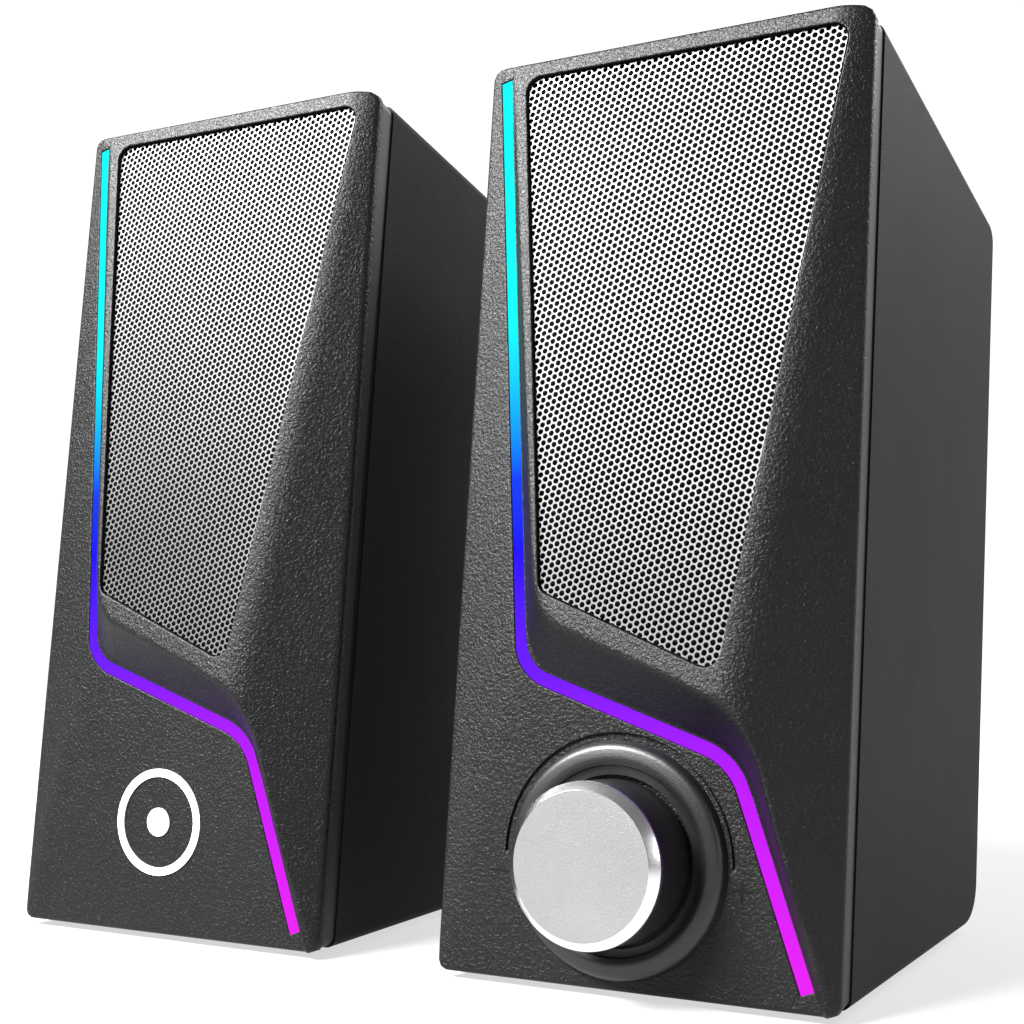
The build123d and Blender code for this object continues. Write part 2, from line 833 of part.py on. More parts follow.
# ---- volume control ----
def knob_pieces(left):
    """Knob, shaft, potentiometer, nut and their board, about the knob's axis."""
    knob = knob_plane(left)
    radial = Plane(origin=knob.origin, x_dir=knob.x_dir, z_dir=knob.y_dir * -1)
    axis = Axis(knob.origin, knob.z_dir)
    room_radius = nut_radius + nut_room
    room_top = nut_thickness + nut_room
    with BuildPart() as knob_body:
        with BuildSketch(radial):
            with BuildLine():
                Polyline(
                    (room_radius, knob_lift), (knob_radius, knob_lift), (knob_radius, knob_body_top),
                    (0, knob_body_top), (0, shaft_top), (shaft_radius, shaft_top),
                    (shaft_radius, room_top), (room_radius, room_top), close=True,
                )
            make_face()
        revolve(axis=axis)
    rim = knob_top - knob_chamfer_depth
    with BuildPart() as knob_cap:
        with BuildSketch(radial):
            with BuildLine():
                Polyline(
                    (0, knob_body_top), (knob_radius - cap_step, knob_body_top),
                    (knob_radius, knob_body_top + cap_step),
                    (knob_radius, rim), (knob_face_radius, knob_top), (0, knob_top), close=True,
                )
            make_face()
        revolve(axis=axis)
    shaft_foot = -bezel_wall - pot_depth / 2
    with BuildPart() as pot_shaft:
        with BuildSketch(knob.offset(shaft_foot)):
            Circle(shaft_radius)
        extrude(amount=shaft_top - shaft_foot)
    sleeve = shaft_radius + shaft_clearance
    with BuildPart() as pot_body:
        with BuildSketch(radial):
            with BuildLine():
                Polyline(
                    (sleeve, bushing_length), (bushing_radius, bushing_length), (bushing_radius, -bezel_wall),
                    (pot_radius, -bezel_wall), (pot_radius, -bezel_wall - pot_depth),
                    (0, -bezel_wall - pot_depth), (0, shaft_foot - shaft_end_gap),
                    (sleeve, shaft_foot - shaft_end_gap), close=True,
                )
            make_face()
        revolve(axis=axis)
    with BuildPart() as pot_nut:
        with BuildSketch(knob):
            RegularPolygon(nut_radius, 6, major_radius=False)
            Circle(bushing_radius, mode=Mode.SUBTRACT)
        extrude(amount=nut_thickness)
    with BuildPart() as control_board:
        with BuildSketch(knob.offset(-bezel_wall - pot_depth)):
            Rectangle(pot_board, pot_board)
        extrude(amount=-pcb_thickness)
    return {
        "volume_knob_body": knob_body.part,
        "volume_knob_cap": knob_cap.part,
        "volume_shaft": pot_shaft.part,
        "volume_control": pot_body.part,
        "volume_control_nut": pot_nut.part,
        "volume_control_board": control_board.part,
    }


def make_emblem(left):
    """A plain ring around a dot, laid on the lower facet."""
    with BuildPart() as emblem:
        with BuildSketch(knob_plane(left)):
            Circle(emblem_radius)
            Circle(emblem_radius - emblem_ring, mode=Mode.SUBTRACT)
            Circle(emblem_dot)
        extrude(amount=emblem_thickness)
    return emblem.part


# ---- amplifier and connections ----
def amplifier_pieces(left):
    """Board on four standoffs, with capacitors, a chip and its finned heat sink."""
    board_level = foot_height + wall + board_standoff
    centre_x = left + width / 2
    centre_y = front_y + board_back + board_size[1] / 2
    top = board_level + pcb_thickness
    standoff_spacing = [side - 2 * standoff_inset for side in board_size]
    with BuildPart() as standoffs:
        with BuildSketch(Plane((centre_x, centre_y, foot_height + wall))):
            with GridLocations(*standoff_spacing, 2, 2):
                Circle(standoff_radius)
        extrude(amount=board_standoff)
    with BuildPart() as board:
        with BuildSketch(Plane((centre_x, centre_y, board_level))):
            Rectangle(*board_size)
        extrude(amount=pcb_thickness)
    with BuildPart() as capacitors:
        with BuildSketch(Plane((centre_x, centre_y - board_size[1] / 4, top))):
            with GridLocations(2 * capacitor_radius + capacitor_gap, 0, capacitor_count, 1):
                Circle(capacitor_radius)
        extrude(amount=capacitor_height)
        fillet(capacitors.faces().sort_by(Axis.Z)[-capacitor_count:].edges(), capacitor_round)
    across, thick, tall = sink_size
    chip_across, chip_thick, chip_tall = chip_size
    chip_y = centre_y + board_size[1] / 4 - thick / 2 - chip_thick / 2
    with BuildPart() as heat_sink:
        with BuildSketch(Plane((centre_x, centre_y + board_size[1] / 4, top))):
            Rectangle(across, thick)
            with Locations((0, thick / 6)):
                with GridLocations(across / (sink_fins - 0.5), 0, sink_fins - 1, 1):
                    Rectangle(across / (2 * sink_fins), thick, mode=Mode.SUBTRACT)
        extrude(amount=tall)
    with BuildPart() as chip:
        with BuildSketch(Plane((centre_x, chip_y, top))):
            Rectangle(chip_across, chip_thick)
        extrude(amount=chip_tall)
    return {
        "amplifier_standoffs": standoffs.part,
        "amplifier_board": board.part,
        "amplifier_capacitors": capacitors.part,
        "amplifier_heat_sink": heat_sink.part,
        "amplifier_chip": chip.part,
    }


def make_glands(left, places):
    """Rubber grommets through the back wall, where cables would enter."""
    front = front_plane(left)
    outside = -back_distance
    with BuildPart() as glands:
        for radius, start, length in (
            (gland_flange, outside - gland_proud, gland_proud),
            (gland_neck, outside, wall),
            (gland_lip, outside + wall, gland_proud),
        ):
            with BuildSketch(front.offset(start)):
                with Locations(*places):
                    Circle(radius)
            extrude(amount=length)
        with BuildSketch(front.offset(outside - gland_proud)):
            with Locations(*places):
                Circle(gland_bore)
        extrude(amount=wall + 2 * gland_proud, mode=Mode.SUBTRACT)
    return glands.part


def make_jack(left, place):
    """Socket for the other speaker's lead: a body inside the wall and a round nose through it."""
    front = front_plane(left)
    across, up, deep = jack_size
    outside = -back_distance
    with BuildPart() as jack:
        with BuildSketch(front.offset(outside + wall)):
            with Locations(place):
                Rectangle(across, up)
        extrude(amount=deep)
        with BuildSketch(front.offset(outside - jack_nose_proud)):
            with Locations(place):
                Circle(jack_nose_radius)
        extrude(amount=wall + jack_nose_proud)
        with BuildSketch(front.offset(outside - jack_nose_proud)):
            with Locations(place):
                Circle(jack_bore_radius)
        extrude(amount=jack_bore_depth, mode=Mode.SUBTRACT)
    return jack.part


# ---- the pair ----
middle = width / 2
main_glands = [(middle + side * connection_spacing, connection_height) for side in (-1, 1)]
link_jack = (middle, connection_height)
satellite_gland = [(middle, connection_height)]

main = speaker_pieces(main_left, True, main_glands + [link_jack], jack_nose_radius)
main.update(knob_pieces(main_left))
main.update(amplifier_pieces(main_left))
main["cable_glands"] = make_glands(main_left, main_glands)
main["link_jack"] = make_jack(main_left, link_jack)

satellite = speaker_pieces(satellite_left, False, satellite_gland, jack_nose_radius)
satellite["emblem"] = make_emblem(satellite_left)
satellite["cable_gland"] = make_glands(satellite_left, satellite_gland)

os.makedirs("parts", exist_ok=True)
for speaker, pieces in (("main", main), ("satellite", satellite)):
    for name, piece in pieces.items():
        piece.label = f"{speaker}_{name}"
        export_step(piece, f"parts/{speaker}_{name}.step")
print("nodes", len(main) + len(satellite))
print("front_y", front_y, "main_left", main_left, "satellite_left", satellite_left)
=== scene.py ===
import json
import math

import bmesh
import bpy
import numpy as np
from mathutils import Matrix, Vector


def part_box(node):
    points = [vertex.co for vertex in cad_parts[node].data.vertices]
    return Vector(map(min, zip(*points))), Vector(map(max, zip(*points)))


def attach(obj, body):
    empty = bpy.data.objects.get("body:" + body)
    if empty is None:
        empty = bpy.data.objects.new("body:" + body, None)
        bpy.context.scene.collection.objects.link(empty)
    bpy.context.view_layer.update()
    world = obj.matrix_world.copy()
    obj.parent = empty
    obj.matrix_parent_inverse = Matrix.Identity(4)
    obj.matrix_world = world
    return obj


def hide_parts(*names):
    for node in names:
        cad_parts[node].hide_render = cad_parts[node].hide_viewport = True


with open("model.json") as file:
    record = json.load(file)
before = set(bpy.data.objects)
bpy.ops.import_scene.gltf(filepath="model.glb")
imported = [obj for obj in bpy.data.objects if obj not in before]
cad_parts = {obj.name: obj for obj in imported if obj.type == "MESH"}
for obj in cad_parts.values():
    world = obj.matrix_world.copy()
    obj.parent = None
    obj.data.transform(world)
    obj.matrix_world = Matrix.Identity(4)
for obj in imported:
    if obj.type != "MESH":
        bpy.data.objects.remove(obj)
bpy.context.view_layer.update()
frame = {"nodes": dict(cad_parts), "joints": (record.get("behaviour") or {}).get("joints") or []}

bl_info = {
    "name": "Desktop speakers",
    "version": (1, 0, 0),
    "blender": (4, 5, 0),
    "location": "View3D > Sidebar > Speakers",
    "description": "Fronts, grilles, knob, finishes and stage for a pair of desktop speakers",
    "category": "Object",
}

# ---- frame ----
# A front is worked out in its own millimetres: u to the right from the speaker's left edge, v up along
# the leaning front from its bottom edge, and h square out of it.
MM = 0.001
SPEAKERS = ("main", "satellite")
JOINTS = {joint["name"]: joint for joint in frame["joints"]}
FORWARD = Vector(JOINTS["main_cone_travel"]["axis"]).normalized()
LEAN_COS, LEAN_SIN = -FORWARD.y, FORWARD.z
LEAN_TAN = LEAN_SIN / LEAN_COS
LAYERS = 6.2                # bezel skirt and baffle, from the front line back to the cabinet
SKIRT = 1.8                 # the bezel's part of them
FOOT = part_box("main_feet")[1].z
FRONT_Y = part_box("main_cabinet")[0].y - LAYERS * MM / LEAN_COS
LEFT = {name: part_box(f"{name}_cabinet")[0].x for name in SPEAKERS}
WIDTH = (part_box("main_cabinet")[1].x - LEFT["main"]) / MM
HEIGHT = 190.0              # of a front, without its feet
LENGTH = HEIGHT / LEAN_COS
CORNER_RADIUS = 2.2         # of the front's outline

# ---- facets of the front: slopes are mm of rise per mm ----
BEVEL = 0.23                # left bevel, from the left edge
LOWER = 0.06                # lower facet, from the bottom edge
SIDE = 0.65                 # side facet, from the right edge
VISOR_START, VISOR_FALL, VISOR_TWIST = 0.8, 0.075, 0.022
WALL_LEFT, WALL_ELBOW, WALL_KNEE, WALL_FOOT = 1.05, 0.6, 0.95, 1.4
LEDGE = 0.5                 # flat beside the strip before the visor's wall climbs

# ---- light strip ----
STRIP = ((4.0, LENGTH - 3.4), (17.8, 61.3), (WIDTH - 21.6, 45.4), (WIDTH - 6.3, 3.8))
STRIP_BENDS = (9.0, 13.0)
CARRY_ON = 12.0             # past the strip's ends, for measuring beside them
RUN_BACK = 60.0             # past the elbow, for each run's own wall
SLOT_HALF = 1.4
SLOT_DEPTH = 2.1

# ---- grille ----
GRILLE = (
    (8.9, LENGTH - 3.4), (WIDTH - 4.0, LENGTH - 3.4), (WIDTH - 22.1, 60.8), (23.8, 76.7),
)
GRILLE_CORNER = 3.2
GRILLE_GAP = 0.25
GRILLE_RECESS = 0.9
OPENING_DEPTH = 2.2

# ---- volume knob, measured from its facet ----
KNOB_U, KNOB_V = 40.0, 25.0
KNOB_AXIS = Vector(JOINTS["volume_turn"]["axis"]).normalized()
KNOB_CENTRE = Vector(JOINTS["volume_turn"]["pos_m"])
KNOB_RADIUS, KNOB_BASE = 15.8, 0.6
CAP_BASE, CAP_EDGE, CAP_TOP = 13.2, 14.0, 15.8
CAP_FACE_RADIUS = 14.1
COLLAR = ((16.6, -0.5), (16.6, 1.35), (18.35, 1.35), (18.35, 1.95), (19.6, 2.45), (22.4, 2.0), (23.3, -0.3))
COLLAR_BENDS = (0.15, 0.1, 0.12, 2.2, 1.8)
ARC_RADIUS, ARC_HALF = 24.4, 0.32
MARK_OFFSET, MARK_DROP, MARK_LENGTH, MARK_WIDTH = 26.0, 3.7, 4.6, 0.7

# ---- camera ----
CAMERA_PLACE = (0.19887, -0.34741, 0.08275)
CAMERA_YAW, CAMERA_ROLL = math.radians(29.324), math.radians(-0.493)
CAMERA_LENS, CAMERA_SHIFT = 59.74, 0.0575


# ================================================================ shapes
def place(speaker, u, v, h):
    """Points of a speaker's front, in metres in the frame: the left edge plus u, v and h along their
    directions."""
    x = LEFT[speaker] + u * MM
    y = FRONT_Y + (v * LEAN_SIN - h * LEAN_COS) * MM
    z = FOOT + (v * LEAN_COS + h * LEAN_SIN) * MM
    return np.stack(np.broadcast_arrays(x, y, z), axis=-1)


def soft_min(a, b, blend):
    """The smaller of two heights, lowered by up to a quarter of blend where they are within blend of each
    other."""
    near = np.maximum(blend - np.abs(a - b), 0.0)
    return np.minimum(a, b) - near * near / (4.0 * blend)


class Line:
    """A line in u and v given by corners, with each corner turned into an arc, and measured by its length."""

    def __init__(self, corners, radii, closed=False, step=0.04):
        corners = [np.array(corner, float) for corner in corners]
        count = len(corners)
        stretches = [] if closed else [corners[0][None]]
        for i, radius in zip(range(count) if closed else range(1, count - 1), radii):
            into = corners[i] - corners[i - 1]
            out = corners[(i + 1) % count] - corners[i]
            into /= np.linalg.norm(into)
            out /= np.linalg.norm(out)
            turn = math.acos(np.clip(into @ out, -1, 1))
            side = math.copysign(1.0, into[0] * out[1] - into[1] * out[0])
            start = corners[i] - into * radius * math.tan(turn / 2)
            centre = start + side * radius * np.array((-into[1], into[0]))
            angle = side * np.linspace(0, turn, max(3, int(radius * turn / step)))[:, None]
            spoke = start - centre
            across = np.array((-spoke[1], spoke[0]))
            stretches.append(centre + spoke * np.cos(angle) + across * np.sin(angle))
        if not closed:
            stretches.append(corners[-1][None])
        knots = np.concatenate(stretches)
        if closed:
            knots = np.concatenate((knots, knots[:1]))
        run = np.concatenate(([0.0], np.cumsum(np.linalg.norm(np.diff(knots, axis=0), axis=1))))
        self.length = run[-1]
        self.s = np.linspace(0, self.length, int(self.length / step) + 1)
        self.points = np.stack([np.interp(self.s, run, knots[:, k]) for k in (0, 1)], axis=1)
        ahead = np.gradient(self.points, self.s, axis=0)
        if closed:
            ahead[0] = ahead[-1] = self.points[1] - self.points[-2]
        ahead /= np.linalg.norm(ahead, axis=1)[:, None]
        self.normals = np.stack((-ahead[:, 1], ahead[:, 0]), axis=1)
        self.closed = closed

    def _read(self, table, s):
        s = np.mod(s, self.length) if self.closed else s
        return np.stack([np.interp(s, self.s, table[:, k]) for k in (0, 1)], axis=-1)

    def at(self, s, out=0.0):
        """Points at lengths s along the line, moved by out to its left."""
        return self._read(self.points, s) + np.asarray(out)[..., None] * self._read(self.normals, s)

    def nearest(self, points, every=8):
        """For each point, the length along the line at its nearest point, and how far to the left it lies."""
        knots, normals, s = self.points[::every], self.normals[::every], self.s[::every]
        found_s = np.empty(len(points))
        found_d = np.empty(len(points))
        for start in range(0, len(points), 4000):
            part = points[start:start + 4000]
            gap = part[:, None] - knots[None]
            best = np.argmin((gap ** 2).sum(2), axis=1)
            found_s[start:start + 4000] = s[best]
            found_d[start:start + 4000] = ((part - knots[best]) * normals[best]).sum(1)
        return found_s, found_d


def extended_strip():
    """The light strip's centre line, carried on straight past both ends."""
    first, second, third, last = (np.array(point) for point in STRIP)
    top = first + (first - second) / np.linalg.norm(first - second) * CARRY_ON
    foot = last + (last - third) / np.linalg.norm(last - third) * CARRY_ON
    return Line((top, second, third, foot), STRIP_BENDS)


def runs_apart():
    """The strip's left run as a straight line, and its other two runs as a line that starts further back."""
    first, second, third, last = (np.array(point) for point in STRIP)
    down = (second - first) / np.linalg.norm(second - first)
    along = (third - second) / np.linalg.norm(third - second)
    foot = (last - third) / np.linalg.norm(last - third)
    left = Line((first - down * CARRY_ON, second + down * RUN_BACK), ())
    return left, Line((second - along * RUN_BACK, third, last + foot * CARRY_ON), (STRIP_BENDS[1],))


strip_line = extended_strip()
left_run, right_runs = runs_apart()
grille_line = Line(GRILLE, (GRILLE_CORNER,) * 4, closed=True)


def ground_height(u, v, soft):
    """Left bevel, lower facet and side facet: the lowest of three planes, with soft creases."""
    low = soft_min(BEVEL * u, LOWER * v, 0.5 * soft)
    return soft_min(low, SIDE * (WIDTH - u), 0.8 * soft)


def visor_height(u, v):
    """The visor's plane, which rises downwards and a little to the right."""
    return VISOR_START + VISOR_TWIST * u + VISOR_FALL * (LENGTH - v)


def climb(line, flat):
    """How far points lie beyond the ledge beside a line, never below zero and with a rounded start."""
    s, beside = line.nearest(flat)
    beside = beside - SLOT_HALF - LEDGE
    return s, 0.5 * (beside + np.sqrt(beside * beside + 0.35))


def raised_height(u, v, soft):
    """The visor's side of the strip: the visor and side facet, or the walls that climb from the strip's left
    run and from its other two runs by their slopes times the distance, whichever is lowest, with rounded
    creases."""
    flat = np.stack((np.ravel(u), np.ravel(v)), axis=1)
    _, left_climb = climb(left_run, flat)
    s, right_climb = climb(right_runs, flat)
    _, near_climb = climb(strip_line, flat)
    knee = right_runs.nearest(np.array([STRIP[2]]))[0][0]
    slope = np.interp(s, (knee - 48, knee - 14, knee + 10), (WALL_ELBOW, WALL_KNEE, WALL_FOOT))
    rise = soft_min(WALL_LEFT * left_climb, slope * right_climb, 5.0 * soft)
    rise = np.maximum(soft_min(rise, 1.8 * near_climb, 1.2 * soft), 0.0)
    wall = ground_height(u, v, soft) + rise.reshape(np.shape(u))
    top = soft_min(visor_height(u, v), SIDE * (WIDTH - u), 2.6 * soft)
    return soft_min(top, wall, 0.9 * soft)


def quads(rows, columns, closed=False):
    """Four-sided faces of a grid of rows by columns of points; closed joins the last column to the first."""
    index = np.arange(rows * columns).reshape(rows, columns)
    here, right = index, np.roll(index, -1, axis=1)
    if not closed:
        here, right = index[:, :-1], index[:, 1:]
    return np.stack((here[:-1], here[1:], right[1:], right[:-1]), axis=-1).reshape(-1, 4)


def merge_spots(points, faces, grain):
    """One point for all the points on the same spot, and the faces with their corners renamed to match."""
    _, first, spot = np.unique(np.round(points / grain).astype(np.int64), axis=0,
                               return_index=True, return_inverse=True)
    return points[first], spot.ravel()[faces]


def weld(patches, grain=2e-7):
    """Joins grids into one set of points and faces: points on the same spot become one, and a four-sided face
    that lost a side becomes a triangle."""
    points, faces, start = [], [], 0
    for grid, closed in patches:
        points.append(grid.reshape(-1, 3))
        faces.append(quads(grid.shape[0], grid.shape[1], closed) + start)
        start += grid.shape[0] * grid.shape[1]
    points, faces = merge_spots(np.concatenate(points), np.concatenate(faces), grain)
    same = faces == np.roll(faces, -1, axis=1)
    lost = same.sum(1)
    triangles = [np.delete(faces[(lost == 1) & same[:, k]], k, axis=1) for k in range(4)]
    triangles = np.concatenate(triangles)
    whole = faces[lost == 0]
    whole = whole[(whole[:, 0] != whole[:, 2]) & (whole[:, 1] != whole[:, 3])]
    return points, [whole, triangles]


def make_mesh(name, points, faces):
    """A mesh from points in metres and arrays of faces with the same number of sides in each."""
    faces = [np.asarray(part) for part in faces if len(part)]
    sides = np.concatenate([np.full(len(part), part.shape[1]) for part in faces])
    corners = np.concatenate([part.ravel() for part in faces])
    mesh = bpy.data.meshes.new(name)
    mesh.vertices.add(len(points))
    mesh.vertices.foreach_set("co", np.ascontiguousarray(points, np.float32).ravel())
    mesh.loops.add(len(corners))
    mesh.loops.foreach_set("vertex_index", corners.astype(np.int32))
    mesh.polygons.add(len(sides))
    mesh.polygons.foreach_set("loop_start", np.concatenate(([0], np.cumsum(sides)[:-1])).astype(np.int32))
    mesh.update(calc_edges=True)
    if mesh.validate():
        raise RuntimeError(f"{name}: the mesh had faulty faces")
    return mesh


def add_piece(name, points, faces, body, finish, replaces=(), sharp=35.0, recalculate=True):
    """Puts a mesh into the scene as a piece of the object, smooth but for creases sharper than an angle."""
    mesh = make_mesh(name, points, faces)
    if recalculate:
        work = bmesh.new()
        work.from_mesh(mesh)
        bmesh.ops.recalc_face_normals(work, faces=work.faces)
        work.to_mesh(mesh)
        work.free()
    mesh.polygons.foreach_set("use_smooth", np.ones(len(mesh.polygons), bool))
    mesh.set_sharp_from_angle(angle=math.radians(sharp))
    piece = bpy.data.objects.new(name, mesh)
    bpy.context.scene.collection.objects.link(piece)
    for material in finish if isinstance(finish, (list, tuple)) else (finish,):
        mesh.materials.append(material)
    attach(piece, body)
    if replaces:
        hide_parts(*replaces)
    return piece


def blend_rows(start, end, shares):
    """Rows of points between two lines of as many points, at the given shares of the way."""
    shares = np.asarray(shares)[:, None, None]
    return start[None] * (1 - shares) + end[None] * shares


def eased(count, power=1.0):
    """Shares from 0 to 1 that crowd towards both ends."""
    even = np.linspace(0, 1, count)
    return (1 - power) * even + power * (0.5 - 0.5 * np.cos(np.pi * even))


class FrontSurface:
    """The moulded front as joined grids. Each grid spans two lines of the front, and its height is a function
    of u and v. Round edges are curves from the face over the edge and straight down."""

    def __init__(self, speaker, with_knob, sizes):
        self.speaker = speaker
        self.with_knob = with_knob
        self.edge = sizes.edge_radius / MM
        self.soft = sizes.crease_softness
        self.groove = sizes.groove_depth / MM
        self.step = sizes.front_step / MM
        self.lip = 0.25
        self.patches = []
        radius = CORNER_RADIUS - self.edge
        box = ((self.edge, LENGTH - self.edge), (WIDTH - self.edge, LENGTH - self.edge),
               (WIDTH - self.edge, self.edge), (self.edge, self.edge))
        self.outline = Line(box, (radius,) * 4, closed=True)
        self.strip_start = strip_line.nearest(np.array([STRIP[0]]))[0][0]
        self.strip_end = strip_line.nearest(np.array([STRIP[3]]))[0][0]

    def height(self, uv, raised):
        u, v = uv[..., 0], uv[..., 1]
        if raised:
            return raised_height(u, v, self.soft)
        ground = ground_height(u, v, self.soft)
        return soft_min(ground, visor_height(u, v), 0.12)

    def add(self, uv, h, closed=False):
        """Adds a grid; near the top and bottom edges, points slide so that both stay in line with the
        cabinet."""
        top = np.clip((uv[..., 1] - LENGTH + 3) / 3, 0, 1)
        bottom = np.clip((3 - uv[..., 1]) / 3, 0, 1)
        v = uv[..., 1] + (top - bottom) * LEAN_TAN * h
        self.patches.append((place(self.speaker, uv[..., 0], v, h), closed))

    def beside(self, s, side):
        """Points beside the strip, with the lips' width added to the slot's."""
        return strip_line.at(s, side * (SLOT_HALF + self.lip) * np.ones_like(s))

    def outline_s(self, point):
        return self.outline.s[np.argmin(((self.outline.points - point) ** 2).sum(1))]

    def build(self):
        lip, outline = self.lip, self.outline
        slot_s = np.linspace(self.strip_start - lip, self.strip_end + lip,
                             int((self.strip_end - self.strip_start) / self.step))
        elbow = strip_line.nearest(np.array([STRIP[1]]))[0][0]
        cut = int(np.argmin(np.abs(slot_s - elbow)))
        upper, under = self.beside(slot_s, 1.0), self.beside(slot_s, -1.0)

        # where the strip's two edges, carried on, meet the outline at the top and at the bottom
        def carried(start, towards, level):
            return start + towards * (level - start[1]) / towards[1]
        up = np.array(STRIP[0]) - np.array(STRIP[1])
        down = np.array(STRIP[3]) - np.array(STRIP[2])
        high, low = LENGTH - self.edge, self.edge
        mark = {name: self.outline_s(carried(start, way, level)) for name, start, way, level in (
            ("upper_top", upper[0], up, high), ("under_top", under[0], up, high),
            ("upper_foot", upper[-1], down, low), ("under_foot", under[-1], down, low))}
        corner = {name: self.outline_s(np.array(point)) for name, point in (
            ("right_top", (WIDTH, LENGTH)), ("right_foot", (WIDTH, 0)), ("left_foot", (0, 0)))}
        left_cut = self.outline_s(np.array((0.0, under[cut][1])))

        def along(start, end, count=None):
            """Lengths along the outline, clockwise from start to end."""
            span = (end - start) % outline.length
            count = count or max(3, int(span / self.step))
            return start + np.linspace(0, span, count)

        end_count = 5
        bridge = np.linspace(0, 1, 7)
        ends = {}
        for mine, at in ((0, ("upper_top", "under_top")), (-1, ("upper_foot", "under_foot"))):
            for side, key in zip((upper, under), at):
                shares = np.linspace(0, 1, end_count)[:, None]
                ends[key] = side[mine] * (1 - shares) + outline.at(mark[key]) * shares
        top_s = mark["under_top"] + bridge * ((mark["upper_top"] - mark["under_top"]) % outline.length)
        foot_s = mark["upper_foot"] + bridge * ((mark["under_foot"] - mark["upper_foot"]) % outline.length)

        # the two short bridges past the ends of the slot
        for near, far, s in ((under[0], upper[0], top_s), (upper[-1], under[-1], foot_s)):
            shares = np.linspace(0, 1, end_count)[:, None, None]
            start = near * (1 - bridge[:, None]) + far * bridge[:, None]
            uv = start[None] * (1 - shares) + outline.at(s)[None] * shares
            self.add(uv, self.height(uv, False))

        # left band, from the slot to the left side
        band_s = along(left_cut, mark["under_top"], cut + end_count)[::-1]
        band = np.concatenate((ends["under_top"][::-1][:-1], under[:cut + 1]))
        uv = blend_rows(band, outline.at(band_s), np.linspace(0, 1, 18))
        self.add(uv, self.height(uv, False))
        cut_line = uv[:, -1]

        # lower facet, in rings about the knob's centre
        left_s = along(corner["left_foot"], left_cut)
        bottom_s = along(mark["under_foot"], corner["left_foot"])
        loop = np.concatenate((
            cut_line[::-1][:-1], under[cut:], ends["under_foot"][1:-1],
            outline.at(bottom_s)[:-1], outline.at(left_s)[:-1]))
        centre = np.array((KNOB_U, KNOB_V))
        reach = np.linalg.norm(loop - centre, axis=1)
        spoke = (loop - centre) / reach[:, None]
        squeeze = np.minimum(1.0, (reach - 0.4) / (ARC_RADIUS + ARC_HALF + 0.05))
        near, far = ARC_RADIUS - ARC_HALF, ARC_RADIUS + ARC_HALF
        rings = np.array((0.0, 8.0, 16.0, 20.0, 22.5, 23.6, near - 0.04, near, far, far + 0.04))
        depth = np.zeros(len(rings))
        if self.with_knob:
            depth[-3:-1] = self.groove
        radii = rings[:, None] * squeeze[None]
        outwards = np.linspace(0, 1, 44)[1:, None]
        radii = np.concatenate((radii, radii[-1] * (1 - outwards) + reach[None] * outwards))
        depth = np.concatenate((depth, np.zeros(len(outwards))))
        uv = centre + spoke[None] * radii[..., None]
        above = (spoke[:, 1] > -0.002).astype(float)
        self.add(uv, self.height(uv, False) - depth[:, None] * above[None], closed=True)

        # visor and side facet, in a ring about the grille's opening
        opening = grille_line
        grille_top_left = opening.nearest(np.array([GRILLE[0]]))[0][0]
        stops = []
        for target in (GRILLE[3], GRILLE[2], GRILLE[1]):
            stops.append(opening.nearest(np.array([target]))[0][0])
        knee = int(np.argmin(np.abs(slot_s - strip_line.nearest(np.array([STRIP[2]]))[0][0])))
        right_s = along(corner["right_top"], corner["right_foot"])[::-1]
        foot_run = along(corner["right_foot"], mark["upper_foot"])[::-1]
        top_run = along(mark["upper_top"], corner["right_top"])[::-1]
        stretches = (
            np.concatenate((ends["upper_top"][::-1][:-1], upper[:cut])), upper[cut:knee],
            np.concatenate((upper[knee:], ends["upper_foot"][1:-1], outline.at(foot_run)[:-1])),
            outline.at(right_s)[:-1], outline.at(top_run)[:-1])
        total = opening.length

        def back(start, end):
            return -((start - end) % total)
        first, second, third = grille_top_left, stops[0], stops[1]
        near_corner = third + 7.0
        spans = ((first, second), (second, near_corner), (near_corner, third - 2.5),
                 (third - 2.5, stops[2]), (stops[2], first))
        inner_s = np.concatenate([
            start + back(start, end) * np.arange(len(stretch)) / len(stretch)
            for (start, end), stretch in zip(spans, stretches)])
        rim = opening.at(inner_s, lip * 1.4)
        outer = np.concatenate(stretches)
        uv = blend_rows(outer, rim, eased(40, 0.35))
        self.add(uv, self.height(uv, True), closed=True)

        # slot: over its lip and down
        slot_loop_s = np.concatenate((slot_s, np.full(5, slot_s[-1]), slot_s[::-1], np.full(5, slot_s[0])))
        across = np.linspace(1, -1, 7)[1:-1]
        slot_loop_n = np.concatenate((np.ones(len(slot_s)), across, -np.ones(len(slot_s)), -across))
        rim_uv = np.concatenate((
            upper, upper[-1] + (under[-1] - upper[-1]) * (1 - across[:, None]) / 2,
            under[::-1], under[0] + (upper[0] - under[0]) * (1 - across[:, None]) / 2))
        wall_s = np.clip(slot_loop_s, self.strip_start, self.strip_end)
        wall_uv = strip_line.at(wall_s, slot_loop_n * SLOT_HALF)
        rim_h = np.where(slot_loop_n > 0.999, self.height(rim_uv, True), self.height(rim_uv, False))
        self.add_edge(rim_uv, wall_uv, rim_h, rim_h, lip, rim_h - SLOT_DEPTH)

        # opening: over its lip and down
        rim_h = self.height(rim, True)
        wall_uv = opening.at(inner_s)
        self.add_edge(rim, wall_uv, rim_h, self.height(wall_uv, True), lip * 1.4, rim_h - OPENING_DEPTH)

